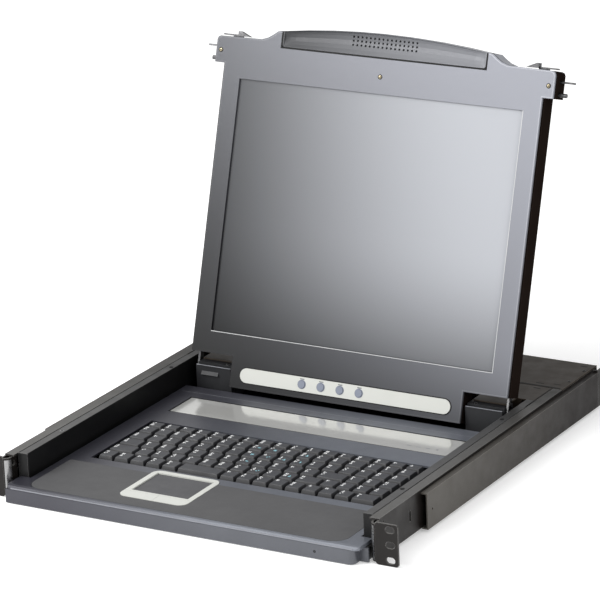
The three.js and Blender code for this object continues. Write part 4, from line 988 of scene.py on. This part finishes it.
def add_handle_details(face):
    """A painted shadow in the groove round the pull handle's foot, and the grille of dimples in its face."""
    low, high = drawn_box("pull_handle", LID)
    gap, width, foot = HANDLE_GROOVE_SHADOW["gap"], HANDLE_GROOVE_SHADOW["width"], low.y
    # Black strips round the handle's foot: painted shadow in its groove
    groove_shadow = Solids(LID)
    for side in (-1, 1):
        inner, outer = sorted((side * (high.x + gap), side * (high.x + gap + width)))
        groove_shadow.mark(inner, outer, foot - width, foot + HANDLE_GROOVE_SHADOW["height"], face, 0.4, 0.08)
    groove_shadow.mark(low.x - width, high.x + width, foot - gap - width, foot - gap, face, 0.4, 0.07)
    groove_shadow.done("handle_groove_shadow", "lid", "hole_and_shadow")
    dimples = Solids(LID)
    bottom, top = (face + z for z in DIMPLES["z"])
    for row in range(DIMPLES["rows"]):
        y = DIMPLES["top"] - row * DIMPLES["row_pitch"]
        for column in range(DIMPLES["columns"]):
            x = (column - (DIMPLES["columns"] - 1) / 2) * DIMPLES["pitch"]
            dimples.rod("z", DIMPLES["radius"], bottom, top, x, y, 12)
    dimples.done("handle_dimples", "lid", "hole_and_shadow")


def add_strip_details(face):
    """A painted shadow in the groove round the control strip, and a mark and a collar for each button."""
    low, high = drawn_box("control_strip", LID)
    middle, half_height = (low.y + high.y) / 2, (high.y - low.y) / 2
    outer, inner = (stadium(high.x + away, half_height + away, middle, 0) for away in STRIP_GROOVE_SHADOW)
    Solids(LID).band(outer, inner, face - 0.2, face + 0.12).done("strip_groove_shadow", "lid", "hole_and_shadow")
    marks, collars = Solids(LID), Solids(LID)
    for name in NODE_FINISHES["button"][1]:
        button_low, button_high = drawn_box(name, LID)
        x = (button_low.x + button_high.x) / 2
        bottom, top = (middle + y for y in STRIP_MARK["y"])
        marks.mark(x - STRIP_MARK["half_x"], x + STRIP_MARK["half_x"], bottom, top, high.z, 0.05)
        outer, inner = (circle("z", COLLAR[rim], 0, x, middle, COLLAR["sides"]) for rim in ("outer", "inner"))
        collars.band(outer, inner, high.z - 0.2, high.z + 0.25)
    marks.done("control_strip_marks", "lid", "ink_grey")
    collars.done("control_button_collars", "lid", "button")


def add_lid_back():
    """Vents, screws and a blank plate on the back cover."""
    surface = drawn_box("lid_back_cover", LID)[0].z
    vents = Solids(LID)
    half_x, half_y = VENTS["half_x"], VENTS["half_y"]
    for y in VENTS["rows"]:
        for column in range(VENTS["columns"]):
            x = (column - (VENTS["columns"] - 1) / 2) * VENTS["pitch"]
            vents.block(x - half_x, x + half_x, y - half_y, y + half_y, surface - 0.06, surface + 0.2)
    vents.done("lid_vents", "lid", "hole_and_shadow")
    add_reverse_side("lid", LID, surface, ("lid_back_screws", "lid_plate_blank"), LID_BACK)


def add_lid_details():
    face = drawn_box("lid_bezel", LID)[1].z
    add_bezel_details(face)
    add_handle_details(face)
    add_strip_details(face)
    add_lid_back()


def add_underside_details():
    """Screws and a blank plate under the drawer pan."""
    bottom = drawn_box("drawer_pan", BASE)[0].z
    add_reverse_side("drawer", BASE, bottom, ("pan_screws", "pan_plate_blank"), PAN_UNDERSIDE)


def finish_nodes():
    """Gives every carried-over CAD node its material and softened edges."""
    for finish, (radius, names) in NODE_FINISHES.items():
        for name in names:
            node = NODES[name]
            node.data.materials.clear()
            node.data.materials.append(MATERIALS[finish])
            soften(node, radius)


finish_nodes()
add_keyboard()
add_drawer_sides()
add_deck_details()
add_cover_details()
add_rear_details()
add_lid_details()
add_underside_details()
add_camera()
add_stage()
